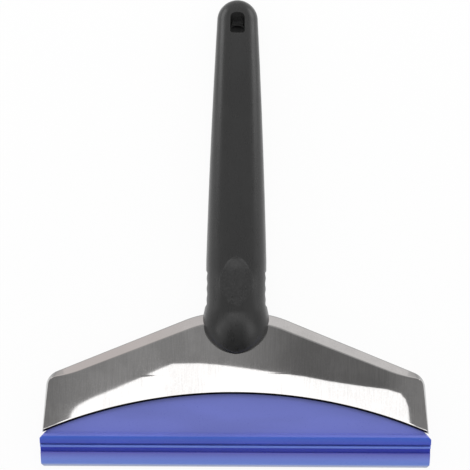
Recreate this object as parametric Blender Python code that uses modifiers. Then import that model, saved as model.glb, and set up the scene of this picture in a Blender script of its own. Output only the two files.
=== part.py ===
"""Hand ice scraper: a pressed steel head, a blade that pulls out of it, and a two-part moulded handle.

Metres, +Z up. The scraper lies on its back as on a table: its front faces +Z, the handle points along +Y
and the blade's scraping edge is at the -Y end. Heights above the table are plain z. Lengths along the tool
are measured from the scraping edge, and the empty called scraper moves that zero to centre the tool.
"""

import math

import bmesh
import bpy
from mathutils import Matrix, Vector

# Fits
CLEARANCE = 0.0003
SEAM_GAP = 0.0003
OVERCUT = 0.001

# Blade: a bar with a scraping edge, and a plate that goes up into the head
BAR_LENGTH = 0.1595
BAR_THICKNESS = 0.0116
BAR_HEIGHT = 0.0121
EDGE_THICKNESS = 0.0024
LIP_THICKNESS = 0.0082
LIP_HEIGHT = 0.0061
LIP_SHOULDER_HEIGHT = 0.0024
RIDGE_THICKNESS = 0.0097
RIDGE_LOW = 0.0079
RIDGE_HIGH = 0.0089
GROOVE_THICKNESS = 0.0062
NARROW_GROOVE_THICKNESS = 0.0078
NARROW_GROOVE_WIDTH = 0.0004
BAR_EDGE_ROUND = 0.0005
BAR_TO_PLATE_RISE = 0.0016
LIP_CURVE = ((0.5, 0.55), (1.0, 0.82))
BAR_TO_PLATE_STEPS = 5
PLATE_THICKNESS = 0.0058
PLATE_OVERLAP = 0.009
BAR_END_CHAMFER = 0.0017
BAR_END_DROP = 0.0019
BAR_END_SLANT = 0.0007
BAR_CORNER = 0.0010
TAB_SPACING = 0.070
TAB_WIDTH = 0.024
TAB_REACH = 0.008
TAB_THICKNESS = 0.0024
TAB_ROOT = 0.004

# Head: two pressed shells that meet on the middle plane
STEEL = 0.0008
HEAD_WIDTH_LOW = 0.1580
HEAD_WIDTH_SHOULDER = 0.1535
HEAD_WIDTH_TOP = 0.0268
HEAD_LOW_Y = 0.0095
HEAD_SHOULDER_Y = 0.0371
HEAD_TOP_Y = 0.0629
HEAD_HALF_DEPTH = 0.0040
HEAD_FRONT_RISE = 0.0023
HEAD_RISE_AT_ARCH = 1 / 3
SIDE_BEVEL = 0.0010
SHOULDER_BEVEL = 0.0034
NECK_BEVEL = 0.0044
SHOULDER_RUN = 0.0105
SHOULDER_ROUND = 0.0045
FACE_CORNER_ROUND = 0.0025
SLOPE_ROUND = 0.004
TOP_ROUND = 0.008
ARC_RADIUS = 0.2027
ARC_TOP_Y = 0.0299
BEVEL_PROFILE = ((0.0, 0.0), (0.05, 0.22), (0.86, 0.95), (1.0, 1.0))

# Tang: a flat steel bar, sleeved by the neck that the two shells form
TANG_WIDTH = 0.0138
TANG_THICKNESS = 0.0028
TANG_CORNER = 0.0034
TANG_LOW_Y = 0.0435
TANG_HIGH_Y = 0.1120
NECK_HIGH_Y = 0.0800
RIVET_SHANK = 0.0030
RIVET_HEAD = 0.0052
RIVET_HEAD_HEIGHT = 0.0006
RIVET_LOW_Y = 0.0468
RIVET_SPACING = 0.0072

# Handle
HANDLE_END_Y = 0.1907
TIP_WIDTH = 0.0166
TIP_DEPTH = 0.0072
MIDDLE_Y = 0.1330
MIDDLE_WIDTH = 0.0213
MIDDLE_DEPTH = 0.0098
GRIP_Y = 0.0840
GRIP_WIDTH = 0.0246
GRIP_DEPTH = 0.0118
GRIP_END_Y = 0.0665
BULB_WIDTH = 0.0278
BULB_DEPTH = 0.0137
BULB_CREST_Y = 0.0640
BULB_ROUND_Y = 0.0575
BULB_LOW_Y = 0.0463
BULB_NOSE_DEPTH = 0.0070
BULB_FALL_POWER = 1.5
BULB_BACK_THINNING = 0.0007
SECTION_POWER = 2.7
END_ROUND_SHARE = 0.985
HANDLE_WALL = 0.0025
BACK_WALL = 0.0016
CAVITY_LOW_Y = 0.0490
CAVITY_BELOW_END = 0.0247
RIB_THICKNESS = 0.0012
RIB_PLACES = (0.0920, 0.1220, 0.1370)

# Grip notches on both sides of the handle
NOTCH_COUNT = 4
NOTCH_PITCH = 0.0043
NOTCH_FIRST_Y = 0.0664
NOTCH_DEPTH = 0.0005
NOTCH_RIDGE_DEPTH = 0.00025
NOTCH_RUN_IN = 0.0022
NOTCH_RUN_OUT = 0.0012
NOTCH_BELOW_MIDDLE = 0.0036
NOTCH_ABOVE_MIDDLE = 0.0062

# Thumb scoop, hollowed by an egg shape that follows the slope of the handle's crest
SCOOP_Y = 0.0756
SCOOP_DEPTH = 0.0012
SCOOP_RADIUS_ACROSS = 0.0205
SCOOP_RADIUS_ALONG = 0.0170
SCOOP_RADIUS_UP = 0.0060

# Hanging slot, which slants down towards the back
SLOT_WIDTH = 0.0058
SLOT_LENGTH = 0.0086
SLOT_BELOW_END = 0.0136
SLOT_ARCH = 0.0017
SLOT_CORNER = 0.0006
SLOT_SLANT = 0.67

# Screws, driven from the back
LOWER_SCREW_Y = 0.0720
MIDDLE_SCREW_Y = 0.1030
UPPER_SCREW_BELOW_END = 0.0407
SCREW_NAMES = ("lower", "middle", "upper")
SCREW_LENGTH = 0.0110
SCREW_SHANK = 0.0029
SCREW_POINT = 0.0015
SCREW_HEAD = 0.0056
SCREW_HEAD_HEIGHT = 0.0015
SCREW_HEAD_FLAT = 0.0045
SCREW_SEAT_Z = 0.0020
SCREW_HOLE = 0.0034
SCREW_BORE_REST = 0.0004
BOSS_DIAMETER = 0.0076
RECESS_LENGTH = 0.0030
RECESS_WIDTH = 0.0008
RECESS_DEPTH = 0.0009

# Smoothness
ARC_STEPS = 30
CORNER_STEPS = 4
SECTION_STEPS = 18
CAVITY_STEPS = 12
ROUND_STEPS = 20
PLATE_FIT_ROUNDS = 4
NOTCH_STEPS = 6
SCOOP_STEPS = 30
SLOT_ARCH_STEPS = 6
END_STATIONS = 8
BULB_PITCH = 0.0014
GRIP_PITCH = 0.0030
SHAFT_PITCH = 0.0110
CAVITY_PITCH = 0.0090

MID_Z = BAR_THICKNESS / 2
TIP_ROUND_Y = HANDLE_END_Y - TIP_WIDTH / 2
CAVITY_HIGH_Y = HANDLE_END_Y - CAVITY_BELOW_END
SLOT_LOW_Y = HANDLE_END_Y - SLOT_BELOW_END
SCREW_PLACES = (LOWER_SCREW_Y, MIDDLE_SCREW_Y, HANDLE_END_Y - UPPER_SCREW_BELOW_END)
ARC_CENTRE_Y = ARC_TOP_Y - ARC_RADIUS
FRONT, REAR = 1, -1
FAR = 0.030

BLACK_PLASTIC = ("handle_black", (0.035, 0.035, 0.036, 1.0), 0.55, 0.0)
CORE_PLASTIC = ("core_black", (0.030, 0.030, 0.032, 1.0), 0.60, 0.0)
SHEET_STEEL = ("brushed_steel", (0.55, 0.55, 0.54, 1.0), 0.28, 1.0)
BAR_STEEL = ("bar_steel", (0.42, 0.42, 0.41, 1.0), 0.40, 1.0)
ZINC = ("screw_zinc", (0.62, 0.62, 0.60, 1.0), 0.35, 1.0)
BLUE_PLASTIC = ("blade_blue", (0.055, 0.085, 0.45, 1.0), 0.30, 0.0)


def clear_scene():
    for obj in list(bpy.data.objects):
        bpy.data.objects.remove(obj)


def new_collection(name):
    collection = bpy.data.collections.new(name)
    bpy.context.scene.collection.children.link(collection)
    return collection


def new_empty(name, location, parent=None):
    empty = bpy.data.objects.new(name, None)
    empty.empty_display_size = 0.01
    empty.location = location
    empty.parent = parent
    PARTS.objects.link(empty)
    return empty


def add_solid(name, mesh):
    """A mesh object in the tool's own coordinates, not yet a part or a cutter."""
    obj = bpy.data.objects.new(name, mesh)
    obj.parent = TOOL
    CUTTERS.objects.link(obj)
    obj.hide_render = True
    obj.display_type = "WIRE"
    return obj


def make_part(obj, finish, parent=None, edge_angle=35.0):
    """Turns a solid into a part of the scraper, with its finish."""
    CUTTERS.objects.unlink(obj)
    PARTS.objects.link(obj)
    obj.hide_render = False
    obj.display_type = "TEXTURED"
    if parent:
        obj.parent = parent
    name, colour, roughness, metallic = finish
    material = bpy.data.materials.get(name)
    if material is None:
        material = bpy.data.materials.new(name)
        material.use_nodes = True
        shader = material.node_tree.nodes["Principled BSDF"]
        shader.inputs["Base Color"].default_value = colour
        shader.inputs["Roughness"].default_value = roughness
        shader.inputs["Metallic"].default_value = metallic
    obj.data.materials.append(material)
    obj.data.shade_smooth()
    obj.data.set_sharp_from_angle(angle=math.radians(edge_angle))
    return obj


def combine(obj, other, operation):
    modifier = obj.modifiers.new(f"{operation.lower()}_{other.name}", "BOOLEAN")
    modifier.operation = operation
    modifier.object = other
    return obj


def cut(obj, *cutters):
    for cutter in cutters:
        combine(obj, cutter, "DIFFERENCE")
    return obj


def loft(name, rings):
    """A closed solid through rings that have the same number of points."""
    shape = bmesh.new()
    rows = [[shape.verts.new(point) for point in ring] for ring in rings]
    count = len(rings[0])
    for lower, upper in zip(rows, rows[1:]):
        for i in range(count):
            j = (i + 1) % count
            shape.faces.new((lower[i], lower[j], upper[j], upper[i]))
    shape.faces.new(rows[0])
    shape.faces.new(rows[-1])
    bmesh.ops.recalc_face_normals(shape, faces=shape.faces)
    mesh = bpy.data.meshes.new(name)
    shape.to_mesh(mesh)
    shape.free()
    return add_solid(name, mesh)


def outline_prism(name, points, low, high, turn=None):
    """A flat outline drawn as a filled 2D curve, made a mesh from low to high along its normal."""
    curve = bpy.data.curves.new(name, "CURVE")
    curve.dimensions = "2D"
    curve.fill_mode = "BOTH"
    curve.extrude = (high - low) / 2
    spline = curve.splines.new("POLY")
    spline.points.add(len(points) - 1)
    for target, (x, y) in zip(spline.points, points):
        target.co = (x, y, 0, 1)
    spline.use_cyclic_u = True
    drawn = bpy.data.objects.new(name + "_outline", curve)
    CUTTERS.objects.link(drawn)
    bpy.context.view_layer.update()
    graph = bpy.context.evaluated_depsgraph_get()
    mesh = bpy.data.meshes.new_from_object(drawn.evaluated_get(graph))
    mesh.name = name
    bpy.data.objects.remove(drawn)
    shape = bmesh.new()
    shape.from_mesh(mesh)
    bmesh.ops.remove_doubles(shape, verts=shape.verts, dist=1e-6)
    bmesh.ops.translate(shape, verts=shape.verts, vec=(0, 0, (high + low) / 2))
    if turn:
        bmesh.ops.transform(shape, verts=shape.verts, matrix=turn)
    bmesh.ops.recalc_face_normals(shape, faces=shape.faces)
    shape.to_mesh(mesh)
    shape.free()
    return add_solid(name, mesh)


def cylinders(name, places, radius, low, high, steps=ROUND_STEPS):
    """Upright cylinders of one size in one mesh, with no corner on the tool's centre line."""
    turn = Matrix.Rotation(math.pi / steps, 4, "Z")
    shape = bmesh.new()
    for x, y in places:
        bmesh.ops.create_cone(
            shape,
            cap_ends=True,
            segments=steps,
            radius1=radius,
            radius2=radius,
            depth=high - low,
            matrix=Matrix.Translation((x, y, (low + high) / 2)) @ turn,
        )
    mesh = bpy.data.meshes.new(name)
    shape.to_mesh(mesh)
    shape.free()
    return add_solid(name, mesh)


def box(name, low, high):
    low, high = Vector(low), Vector(high)
    shape = bmesh.new()
    bmesh.ops.create_cube(shape, size=1.0)
    bmesh.ops.scale(shape, verts=shape.verts, vec=high - low)
    bmesh.ops.translate(shape, verts=shape.verts, vec=(low + high) / 2)
    mesh = bpy.data.meshes.new(name)
    shape.to_mesh(mesh)
    shape.free()
    return add_solid(name, mesh)


def turned(name, profile):
    """A turned solid: its profile starts and ends on the axis and runs down its outer side."""
    mesh = bpy.data.meshes.new(name)
    edges = [(i, i + 1) for i in range(len(profile) - 1)]
    mesh.from_pydata([(r, 0, z) for r, z in profile], edges, [])
    obj = add_solid(name, mesh)
    modifier = obj.modifiers.new("turn", "SCREW")
    modifier.steps = modifier.render_steps = ROUND_STEPS
    modifier.use_merge_vertices = True
    modifier.merge_threshold = 1e-6
    return obj


def blend(low, high, share):
    return low + (high - low) * share


def smooth_step(value, low, high):
    share = min(1.0, max(0.0, (value - low) / (high - low)))
    return share * share * (3 - 2 * share)


def quarter(share):
    """Height of a quarter circle over its flat radius, from 1 at the centre to 0 at the end."""
    return math.sqrt(max(0.0, 1 - share * share))


def rounded_end(share):
    """The same for the handle's ends, where the rounding stops at a small flat."""
    return quarter(END_ROUND_SHARE * share)


def offset_polygon(points, distance):
    """The polygon, listed anticlockwise, with each side moved outwards."""
    count = len(points)
    moved = []
    for i, here in enumerate(points):
        before, after = Vector(points[i - 1]), Vector(points[(i + 1) % count])
        here = Vector(here)
        one, two = (here - before).normalized(), (after - here).normalized()
        out_one, out_two = Vector((one.y, -one.x)), Vector((two.y, -two.x))
        between = (out_one + out_two).normalized()
        moved.append(here + between * (distance / max(between.dot(out_one), 0.1)))
    return moved


def rounded_polygon(points, rounds):
    """The polygon with each corner drawn as a curve, which starts its own distance before the corner."""
    count = len(points)
    drawn = []
    for i, here in enumerate(points):
        if not rounds[i]:
            drawn.append(here)
            continue
        start = here + (points[i - 1] - here).normalized() * rounds[i]
        end = here + (points[(i + 1) % count] - here).normalized() * rounds[i]
        for step in range(CORNER_STEPS + 1):
            share = step / CORNER_STEPS
            drawn.append(start.lerp(here, share).lerp(here.lerp(end, share), share))
    return drawn


def mirrored(half):
    return [*half, *((-x, y) for x, y in reversed(half))]


def head_corners():
    """Corners of the head's rim and of its flat face, each with its roundings, listed anticlockwise."""
    low = Vector((HEAD_WIDTH_LOW / 2, HEAD_LOW_Y))
    shoulder = Vector((HEAD_WIDTH_SHOULDER / 2, HEAD_SHOULDER_Y))
    top = Vector((HEAD_WIDTH_TOP / 2, HEAD_TOP_Y))
    along = (top - shoulder).normalized()
    inward = Vector((-along.y, along.x))
    slope = shoulder + along * SHOULDER_RUN
    rim = mirrored([low, shoulder, slope, top])
    face = mirrored(
        [
            low + Vector((-SIDE_BEVEL, 0)),
            shoulder + Vector((-SIDE_BEVEL, -SIDE_BEVEL)),
            slope + inward * SHOULDER_BEVEL,
            top + inward * NECK_BEVEL,
        ]
    )
    rim_rounds = [0, SHOULDER_ROUND, SLOPE_ROUND, TOP_ROUND]
    face_rounds = [0, FACE_CORNER_ROUND, SLOPE_ROUND, TOP_ROUND]
    return (
        rim,
        [*rim_rounds, *reversed(rim_rounds)],
        face,
        [*face_rounds, *reversed(face_rounds)],
    )


def head_half_depth(side, y):
    if side == REAR:
        return HEAD_HALF_DEPTH
    rise = (y - ARC_TOP_Y) / (HEAD_TOP_Y - ARC_TOP_Y)
    return HEAD_HALF_DEPTH + HEAD_FRONT_RISE * blend(HEAD_RISE_AT_ARCH, 1, rise)


def head_levels(side, grow):
    """The rings of one half of the head, from its rim to its flat face."""
    rim, rim_rounds, face, face_rounds = head_corners()
    outer = rounded_polygon(offset_polygon(rim, grow), rim_rounds)
    inner = rounded_polygon(offset_polygon(face, grow), face_rounds)
    levels = []
    for inset, share in BEVEL_PROFILE:
        ring = [a.lerp(b, inset) for a, b in zip(outer, inner)]
        levels.append(
            [
                (x, y, MID_Z + side * share * (head_half_depth(side, y) + grow))
                for x, y in ring
            ]
        )
    return levels


def head_half(name, side, grow, start):
    """One half of the head as a solid that starts at that height above the middle plane."""
    levels = head_levels(side, grow)
    first = [(x, y, MID_Z + side * start) for x, y, z in levels[0]]
    return loft(name, [first, *levels[1:]])


def whole_head(name, grow):
    rear, front = head_levels(REAR, grow), head_levels(FRONT, grow)
    return loft(name, [*reversed(rear), *front[1:]])


def neck_half(name, side, grow, start, high):
    """One half of the flat sleeve round the tang."""
    half_width = TANG_WIDTH / 2 + CLEARANCE + grow
    half_depth = TANG_THICKNESS / 2 + CLEARANCE + grow
    ends = sorted((MID_Z + side * start, MID_Z + side * half_depth))
    low_y = HEAD_TOP_Y - NECK_BEVEL
    return box(name, (-half_width, low_y, ends[0]), (half_width, high, ends[1]))


def arc_height(x, grow=0.0):
    return ARC_CENTRE_Y + math.sqrt((ARC_RADIUS + grow) ** 2 - x * x)


def under_arc(name, grow, half_width, low_y, low, high, low_half_width=None):
    """The space under the head's arched lower edge, with the arch raised by grow."""
    points = [(-(low_half_width or half_width), low_y), (low_half_width or half_width, low_y)]
    for step in range(ARC_STEPS + 1):
        x = blend(half_width, -half_width, step / ARC_STEPS)
        points.append((x, arc_height(x, grow)))
    return outline_prism(name, points, low, high)


def arch_cutter(name, grow):
    half_width = HEAD_WIDTH_LOW / 2 + OVERCUT
    return under_arc(name, grow, half_width, -OVERCUT, -OVERCUT, FAR)


def head_inner_half_width(y):
    """Half the room between the side walls of the head."""
    rise = (y - HEAD_LOW_Y) / (HEAD_SHOULDER_Y - HEAD_LOW_Y)
    return blend(HEAD_WIDTH_LOW, HEAD_WIDTH_SHOULDER, rise) / 2 - STEEL


def make_shell(name, side):
    shell = head_half(name, side, 0.0, SEAM_GAP / 2)
    neck = neck_half(name + "_neck", side, STEEL, SEAM_GAP / 2, NECK_HIGH_Y)
    combine(shell, neck, "UNION")
    cut(
        shell,
        head_half(name + "_inside", side, -STEEL, -OVERCUT),
        neck_half(name + "_neck_inside", side, 0.0, -OVERCUT, NECK_HIGH_Y + OVERCUT),
        ARCH,
        SCREW_HOLES,
    )
    return make_part(shell, SHEET_STEEL)


def core_front_z(y):
    return MID_Z + head_half_depth(FRONT, y) - STEEL - CLEARANCE


def core_rear_z():
    return MID_Z - HEAD_HALF_DEPTH + STEEL + CLEARANCE


def tab_boxes(name, grow):
    """The blade's two tabs, or the sockets that take them."""
    tabs = []
    for side, label in ((-1, "left"), (1, "right")):
        x = side * TAB_SPACING / 2
        half_width, half_depth = TAB_WIDTH / 2 + grow, TAB_THICKNESS / 2 + grow
        root = arc_height(x, PLATE_OVERLAP)
        low = (x - half_width, root - TAB_ROOT, MID_Z - half_depth)
        high = (x + half_width, root + TAB_REACH + grow, MID_Z + half_depth)
        tabs.append(box(f"{name}_{label}", low, high))
    return tabs


def tang_outline(grow):
    half = TANG_WIDTH / 2 + grow
    low, high = TANG_LOW_Y - grow, TANG_HIGH_Y + grow
    return [
        (-half, low),
        (half, low),
        (half, high - TANG_CORNER),
        (half - TANG_CORNER, high),
        (-half + TANG_CORNER, high),
        (-half, high - TANG_CORNER),
    ]


def tang_solid(name, grow):
    half = TANG_THICKNESS / 2 + grow
    return outline_prism(name, tang_outline(grow), MID_Z - half, MID_Z + half)


def make_tang():
    tang = tang_solid("tang", 0.0)
    return make_part(cut(tang, SCREW_HOLES, *RIVET_CUTTERS), BAR_STEEL)


def rivet_ends(y):
    """Heights of the two faces that a rivet's heads bear on."""
    rear = core_rear_z() + RIVET_HEAD_HEIGHT + CLEARANCE
    front = core_front_z(y - RIVET_HEAD / 2) - RIVET_HEAD_HEIGHT - CLEARANCE
    return rear, front


def rivet_solid(name, y, grow):
    rear, front = rivet_ends(y)
    shank, head = RIVET_SHANK / 2 + grow, RIVET_HEAD / 2 + grow
    rise = RIVET_HEAD_HEIGHT if not grow else FAR
    profile = [
        (0, front + grow + rise),
        (head, front + grow + rise),
        (head, front - grow),
        (shank, front - grow),
        (shank, rear + grow),
        (head, rear + grow),
        (head, rear - grow - rise),
        (0, rear - grow - rise),
    ]
    rivet = turned(name, profile)
    rivet.location = (0, y, 0)
    return rivet


def make_core():
    core = whole_head("head_core", -STEEL - CLEARANCE)
    arch = arch_cutter("core_arch", PLATE_OVERLAP + CLEARANCE)
    cut(core, arch, TANG_ROOM, *tab_boxes("tab_socket", CLEARANCE), *RIVET_CUTTERS)
    return make_part(core, CORE_PLASTIC)


def bar_profile():
    """The bar's section from the middle plane out: (distance from the scraping edge, half thickness)."""
    ridge, groove = RIDGE_THICKNESS / 2, GROOVE_THICKNESS / 2
    narrow, bar, plate = NARROW_GROOVE_THICKNESS / 2, BAR_THICKNESS / 2, PLATE_THICKNESS / 2
    small = BAR_EDGE_ROUND
    shoulder_low = RIDGE_HIGH + small / 2 + NARROW_GROOVE_WIDTH
    nose = [
        (LIP_SHOULDER_HEIGHT * rise, blend(EDGE_THICKNESS, LIP_THICKNESS, share) / 2)
        for rise, share in LIP_CURVE
    ]
    neck = []
    for step in range(1, BAR_TO_PLATE_STEPS + 1):
        rise = math.sin(math.pi / 2 * step / BAR_TO_PLATE_STEPS)
        neck.append((BAR_HEIGHT + BAR_TO_PLATE_RISE * rise, blend(plate, bar, quarter(rise))))
    return [
        (0.0, EDGE_THICKNESS / 2),
        *nose,
        (LIP_HEIGHT - small / 2, LIP_THICKNESS / 2),
        (LIP_HEIGHT, LIP_THICKNESS / 2 - small / 2),
        (LIP_HEIGHT, groove),
        (RIDGE_LOW, groove),
        (RIDGE_LOW, ridge - small),
        (RIDGE_LOW + small, ridge),
        (RIDGE_HIGH - small, ridge),
        (RIDGE_HIGH, ridge - small),
        (RIDGE_HIGH + small / 2, narrow),
        (shoulder_low, narrow),
        (shoulder_low, bar - small),
        (shoulder_low + small, bar),
        (BAR_HEIGHT, bar),
        *neck,
    ]


def plate_half_width(y):
    """The plate stays inside the bevels of the head's side walls."""
    return head_inner_half_width(y) - SIDE_BEVEL - CLEARANCE


def bar_end_cutter(side):
    """What one end of the bar loses: a chamfer at the head, a slight slant and a small corner."""
    end = BAR_LENGTH / 2
    top = BAR_HEIGHT + BAR_TO_PLATE_RISE
    low = end - BAR_END_SLANT - BAR_CORNER
    points = [
        (end - BAR_END_CHAMFER, top + OVERCUT),
        (end - BAR_END_CHAMFER, top),
        (end, top - BAR_END_DROP),
        (end - BAR_END_SLANT, BAR_CORNER),
        (low - OVERCUT, -OVERCUT),
        (end + OVERCUT, -OVERCUT),
        (end + OVERCUT, top + OVERCUT),
    ]
    return outline_prism("bar_end", [(side * x, y) for x, y in points], -OVERCUT, FAR)


def make_blade(slide):
    """The bar is drawn across the tool, so its outline's x, y and normal become the tool's y, z and x."""
    half = bar_profile()
    outline = [*((y, MID_Z + z) for y, z in half), *((y, MID_Z - z) for y, z in reversed(half))]
    across = Matrix(((0, 0, 1, 0), (1, 0, 0, 0), (0, 1, 0, 0), (0, 0, 0, 1)))
    blade = outline_prism("blade", outline, -BAR_LENGTH / 2, BAR_LENGTH / 2, across)
    half_width = plate_half_width(ARC_TOP_Y)
    for _ in range(PLATE_FIT_ROUNDS):
        half_width = plate_half_width(arc_height(half_width, PLATE_OVERLAP))
    low_y = BAR_HEIGHT
    plate = under_arc(
        "blade_plate",
        PLATE_OVERLAP,
        half_width,
        low_y,
        MID_Z - PLATE_THICKNESS / 2,
        MID_Z + PLATE_THICKNESS / 2,
        plate_half_width(low_y + BAR_TO_PLATE_RISE),
    )
    combine(blade, plate, "UNION")
    for tab in tab_boxes("blade_tab", 0.0):
        combine(blade, tab, "UNION")
    cut(blade, *(bar_end_cutter(side) for side in (-1, 1)))
    blade.location = -slide.location
    return make_part(blade, BLUE_PLASTIC, slide)


def curve_through(y, values):
    """A smooth curve through the tip's, the middle's and the grip's value."""
    places = (TIP_ROUND_Y, MIDDLE_Y, GRIP_Y)
    total = 0.0
    for i, value in enumerate(values):
        weight = 1.0
        for j, place in enumerate(places):
            if j != i:
                weight *= (y - place) / (places[i] - place)
        total += value * weight
    return total


def handle_size(y):
    """The handle's half width at y, and its depth in front of and behind the middle plane."""
    body_y = max(y, GRIP_Y)
    half_width = curve_through(body_y, (TIP_WIDTH, MIDDLE_WIDTH, GRIP_WIDTH)) / 2
    front = curve_through(body_y, (TIP_DEPTH, MIDDLE_DEPTH, GRIP_DEPTH))
    back = MID_Z
    if y > TIP_ROUND_Y:
        share = rounded_end((y - TIP_ROUND_Y) / (HANDLE_END_Y - TIP_ROUND_Y))
        return TIP_WIDTH / 2 * share, TIP_DEPTH * math.sqrt(share), back * math.sqrt(share)
    swell = 1 - smooth_step(y, BULB_ROUND_Y, GRIP_END_Y)
    half_width = blend(half_width, BULB_WIDTH / 2, swell)
    lift = 1 - smooth_step(y, BULB_CREST_Y, GRIP_Y)
    front = blend(front, BULB_DEPTH, lift)
    if y < BULB_CREST_Y:
        share = min(1.0, (BULB_CREST_Y - y) / (BULB_CREST_Y - BULB_LOW_Y))
        fall = (1 - share**BULB_FALL_POWER) ** (1 / BULB_FALL_POWER)
        front = blend(BULB_NOSE_DEPTH, BULB_DEPTH, fall)
    if y < BULB_ROUND_Y:
        share = rounded_end((BULB_ROUND_Y - y) / (BULB_ROUND_Y - BULB_LOW_Y))
        half_width *= share
        back -= BULB_BACK_THINNING * (1 - share)
    return half_width, front, back


def round_stations(centre, end, count):
    """Places from a rounding's centre to its end, closer together near the end."""
    return [centre + (end - centre) * math.sin(math.pi / 2 * i / count) for i in range(1, count + 1)]


def even_stations(low, high, pitch):
    count = max(1, round((high - low) / pitch))
    return [blend(low, high, i / count) for i in range(count)]


def handle_stations():
    return [
        *reversed(round_stations(BULB_ROUND_Y, BULB_LOW_Y, END_STATIONS)),
        *even_stations(BULB_ROUND_Y, GRIP_END_Y, BULB_PITCH),
        *even_stations(GRIP_END_Y, GRIP_Y, GRIP_PITCH),
        *even_stations(GRIP_Y, TIP_ROUND_Y, SHAFT_PITCH),
        TIP_ROUND_Y,
        *round_stations(TIP_ROUND_Y, HANDLE_END_Y, END_STATIONS),
    ]


def section(y, half_width, depth, side, start, steps):
    """Half of the handle's section as a ring, cut off straight at that height over the middle plane."""
    ring = []
    for step in range(steps + 1):
        turn = math.pi * step / steps
        across, out = math.cos(turn), abs(math.sin(turn))
        x = half_width * math.copysign(abs(across) ** (2 / SECTION_POWER), across)
        z = max(depth * out ** (2 / SECTION_POWER), start)
        ring.append((x, y, MID_Z + side * z))
    return ring


def handle_solid(name, side, grow, stations):
    """The handle's front or rear half, grown outwards."""
    rings = []
    for y in stations:
        half_width, front, back = handle_size(y)
        depth = front if side == FRONT else back
        rings.append(
            section(y, half_width + grow, depth + grow, side, SEAM_GAP / 2, SECTION_STEPS)
        )
    return loft(name, rings)


def cavity_solid(name, side):
    """The hollow of one half. It runs past the middle plane, and stays clear of the bosses and ribs."""
    rings = []
    for y in [*even_stations(CAVITY_LOW_Y, CAVITY_HIGH_Y, CAVITY_PITCH), CAVITY_HIGH_Y]:
        half_width, front, back = handle_size(y)
        depth = front - HANDLE_WALL if side == FRONT else back - BACK_WALL
        ring = section(y, half_width - HANDLE_WALL, depth, side, 0.0, CAVITY_STEPS)
        edge = [(x, y, MID_Z - side * OVERCUT) for x, y, z in (ring[-1], ring[0])]
        rings.append([*ring, *edge])
    cavity = loft(name, rings)
    for i, y in enumerate(RIB_PLACES):
        rib = box(
            f"{name}_rib_{i + 1}",
            (-FAR, y - RIB_THICKNESS / 2, -OVERCUT),
            (FAR, y + RIB_THICKNESS / 2, FAR),
        )
        cut(cavity, rib)
    return cut(cavity, BOSSES)


def slot_cutter():
    """The hanging slot: straight sides, an arched top and cut lower corners, slanting to the back."""
    half = SLOT_WIDTH / 2
    high = SLOT_LOW_Y + SLOT_LENGTH
    points = [
        (-half, SLOT_LOW_Y + SLOT_CORNER),
        (-half + SLOT_CORNER, SLOT_LOW_Y),
        (half - SLOT_CORNER, SLOT_LOW_Y),
        (half, SLOT_LOW_Y + SLOT_CORNER),
    ]
    for step in range(SLOT_ARCH_STEPS + 1):
        x = blend(half, -half, step / SLOT_ARCH_STEPS)
        points.append((x, high - SLOT_ARCH * (1 - quarter(x / half))))
    slot = outline_prism("slot", points, -OVERCUT, FAR)
    top = MID_Z + TIP_DEPTH
    for vertex in slot.data.vertices:
        vertex.co.y += SLOT_SLANT * (vertex.co.z - top)
    return slot


def notch_depth(y):
    """How far the waved recess for the fingers lies inside the handle's outline."""
    last_y = NOTCH_FIRST_Y + (NOTCH_COUNT - 1) * NOTCH_PITCH
    wave = (1 + math.cos(2 * math.pi * (y - NOTCH_FIRST_Y) / NOTCH_PITCH)) / 2
    depth = blend(NOTCH_RIDGE_DEPTH, NOTCH_DEPTH, wave)
    run_in = smooth_step(y, NOTCH_FIRST_Y - NOTCH_RUN_IN, NOTCH_FIRST_Y)
    run_out = 1 - smooth_step(y, last_y, last_y + NOTCH_RUN_OUT)
    return (depth + CLEARANCE) * run_in * run_out - CLEARANCE


def notch_cutter(side):
    """The waved recess on one side of the handle."""
    low_y = NOTCH_FIRST_Y - NOTCH_RUN_IN
    last_y = NOTCH_FIRST_Y + (NOTCH_COUNT - 1) * NOTCH_PITCH
    high_y = last_y + NOTCH_RUN_OUT
    places = [*even_stations(low_y, last_y, NOTCH_PITCH / NOTCH_STEPS)]
    places += [*even_stations(last_y, high_y, NOTCH_RUN_OUT / NOTCH_STEPS), high_y]
    wave = [(side * (handle_size(y)[0] - notch_depth(y)), y) for y in places]
    points = [*wave, (side * FAR, high_y), (side * FAR, low_y)]
    return outline_prism(
        "notches", points, MID_Z - NOTCH_BELOW_MIDDLE, MID_Z + NOTCH_ABOVE_MIDDLE
    )


def scoop_cutter():
    shape = bmesh.new()
    bmesh.ops.create_uvsphere(shape, u_segments=SCOOP_STEPS, v_segments=SCOOP_STEPS, radius=1.0)
    radii = Vector((SCOOP_RADIUS_ACROSS, SCOOP_RADIUS_ALONG, SCOOP_RADIUS_UP))
    bmesh.ops.scale(shape, verts=shape.verts, vec=radii)
    centre = (0, SCOOP_Y, MID_Z - SCOOP_DEPTH + SCOOP_RADIUS_UP)
    bmesh.ops.translate(shape, verts=shape.verts, vec=centre)
    for vertex in shape.verts:
        vertex.co.z += handle_size(vertex.co.y)[1]
    mesh = bpy.data.meshes.new("scoop")
    shape.to_mesh(mesh)
    shape.free()
    return add_solid("scoop", mesh)


def head_room(name, side):
    """What one half of the handle leaves free for the head, its neck and the tang."""
    room = head_half(name, side, CLEARANCE, -OVERCUT)
    grow = STEEL + CLEARANCE
    neck = neck_half(name + "_neck", side, grow, -OVERCUT, NECK_HIGH_Y + CLEARANCE)
    combine(room, neck, "UNION")
    return combine(room, TANG_ROOM, "UNION")


def make_handle_front():
    half = handle_solid("handle_front", FRONT, 0.0, handle_stations())
    cut(
        half,
        cavity_solid("front_cavity", FRONT),
        head_room("front_room", FRONT),
        SLOT,
        *NOTCHES,
        scoop_cutter(),
        SCREW_BORES,
    )
    return make_part(half, BLACK_PLASTIC)


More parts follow.
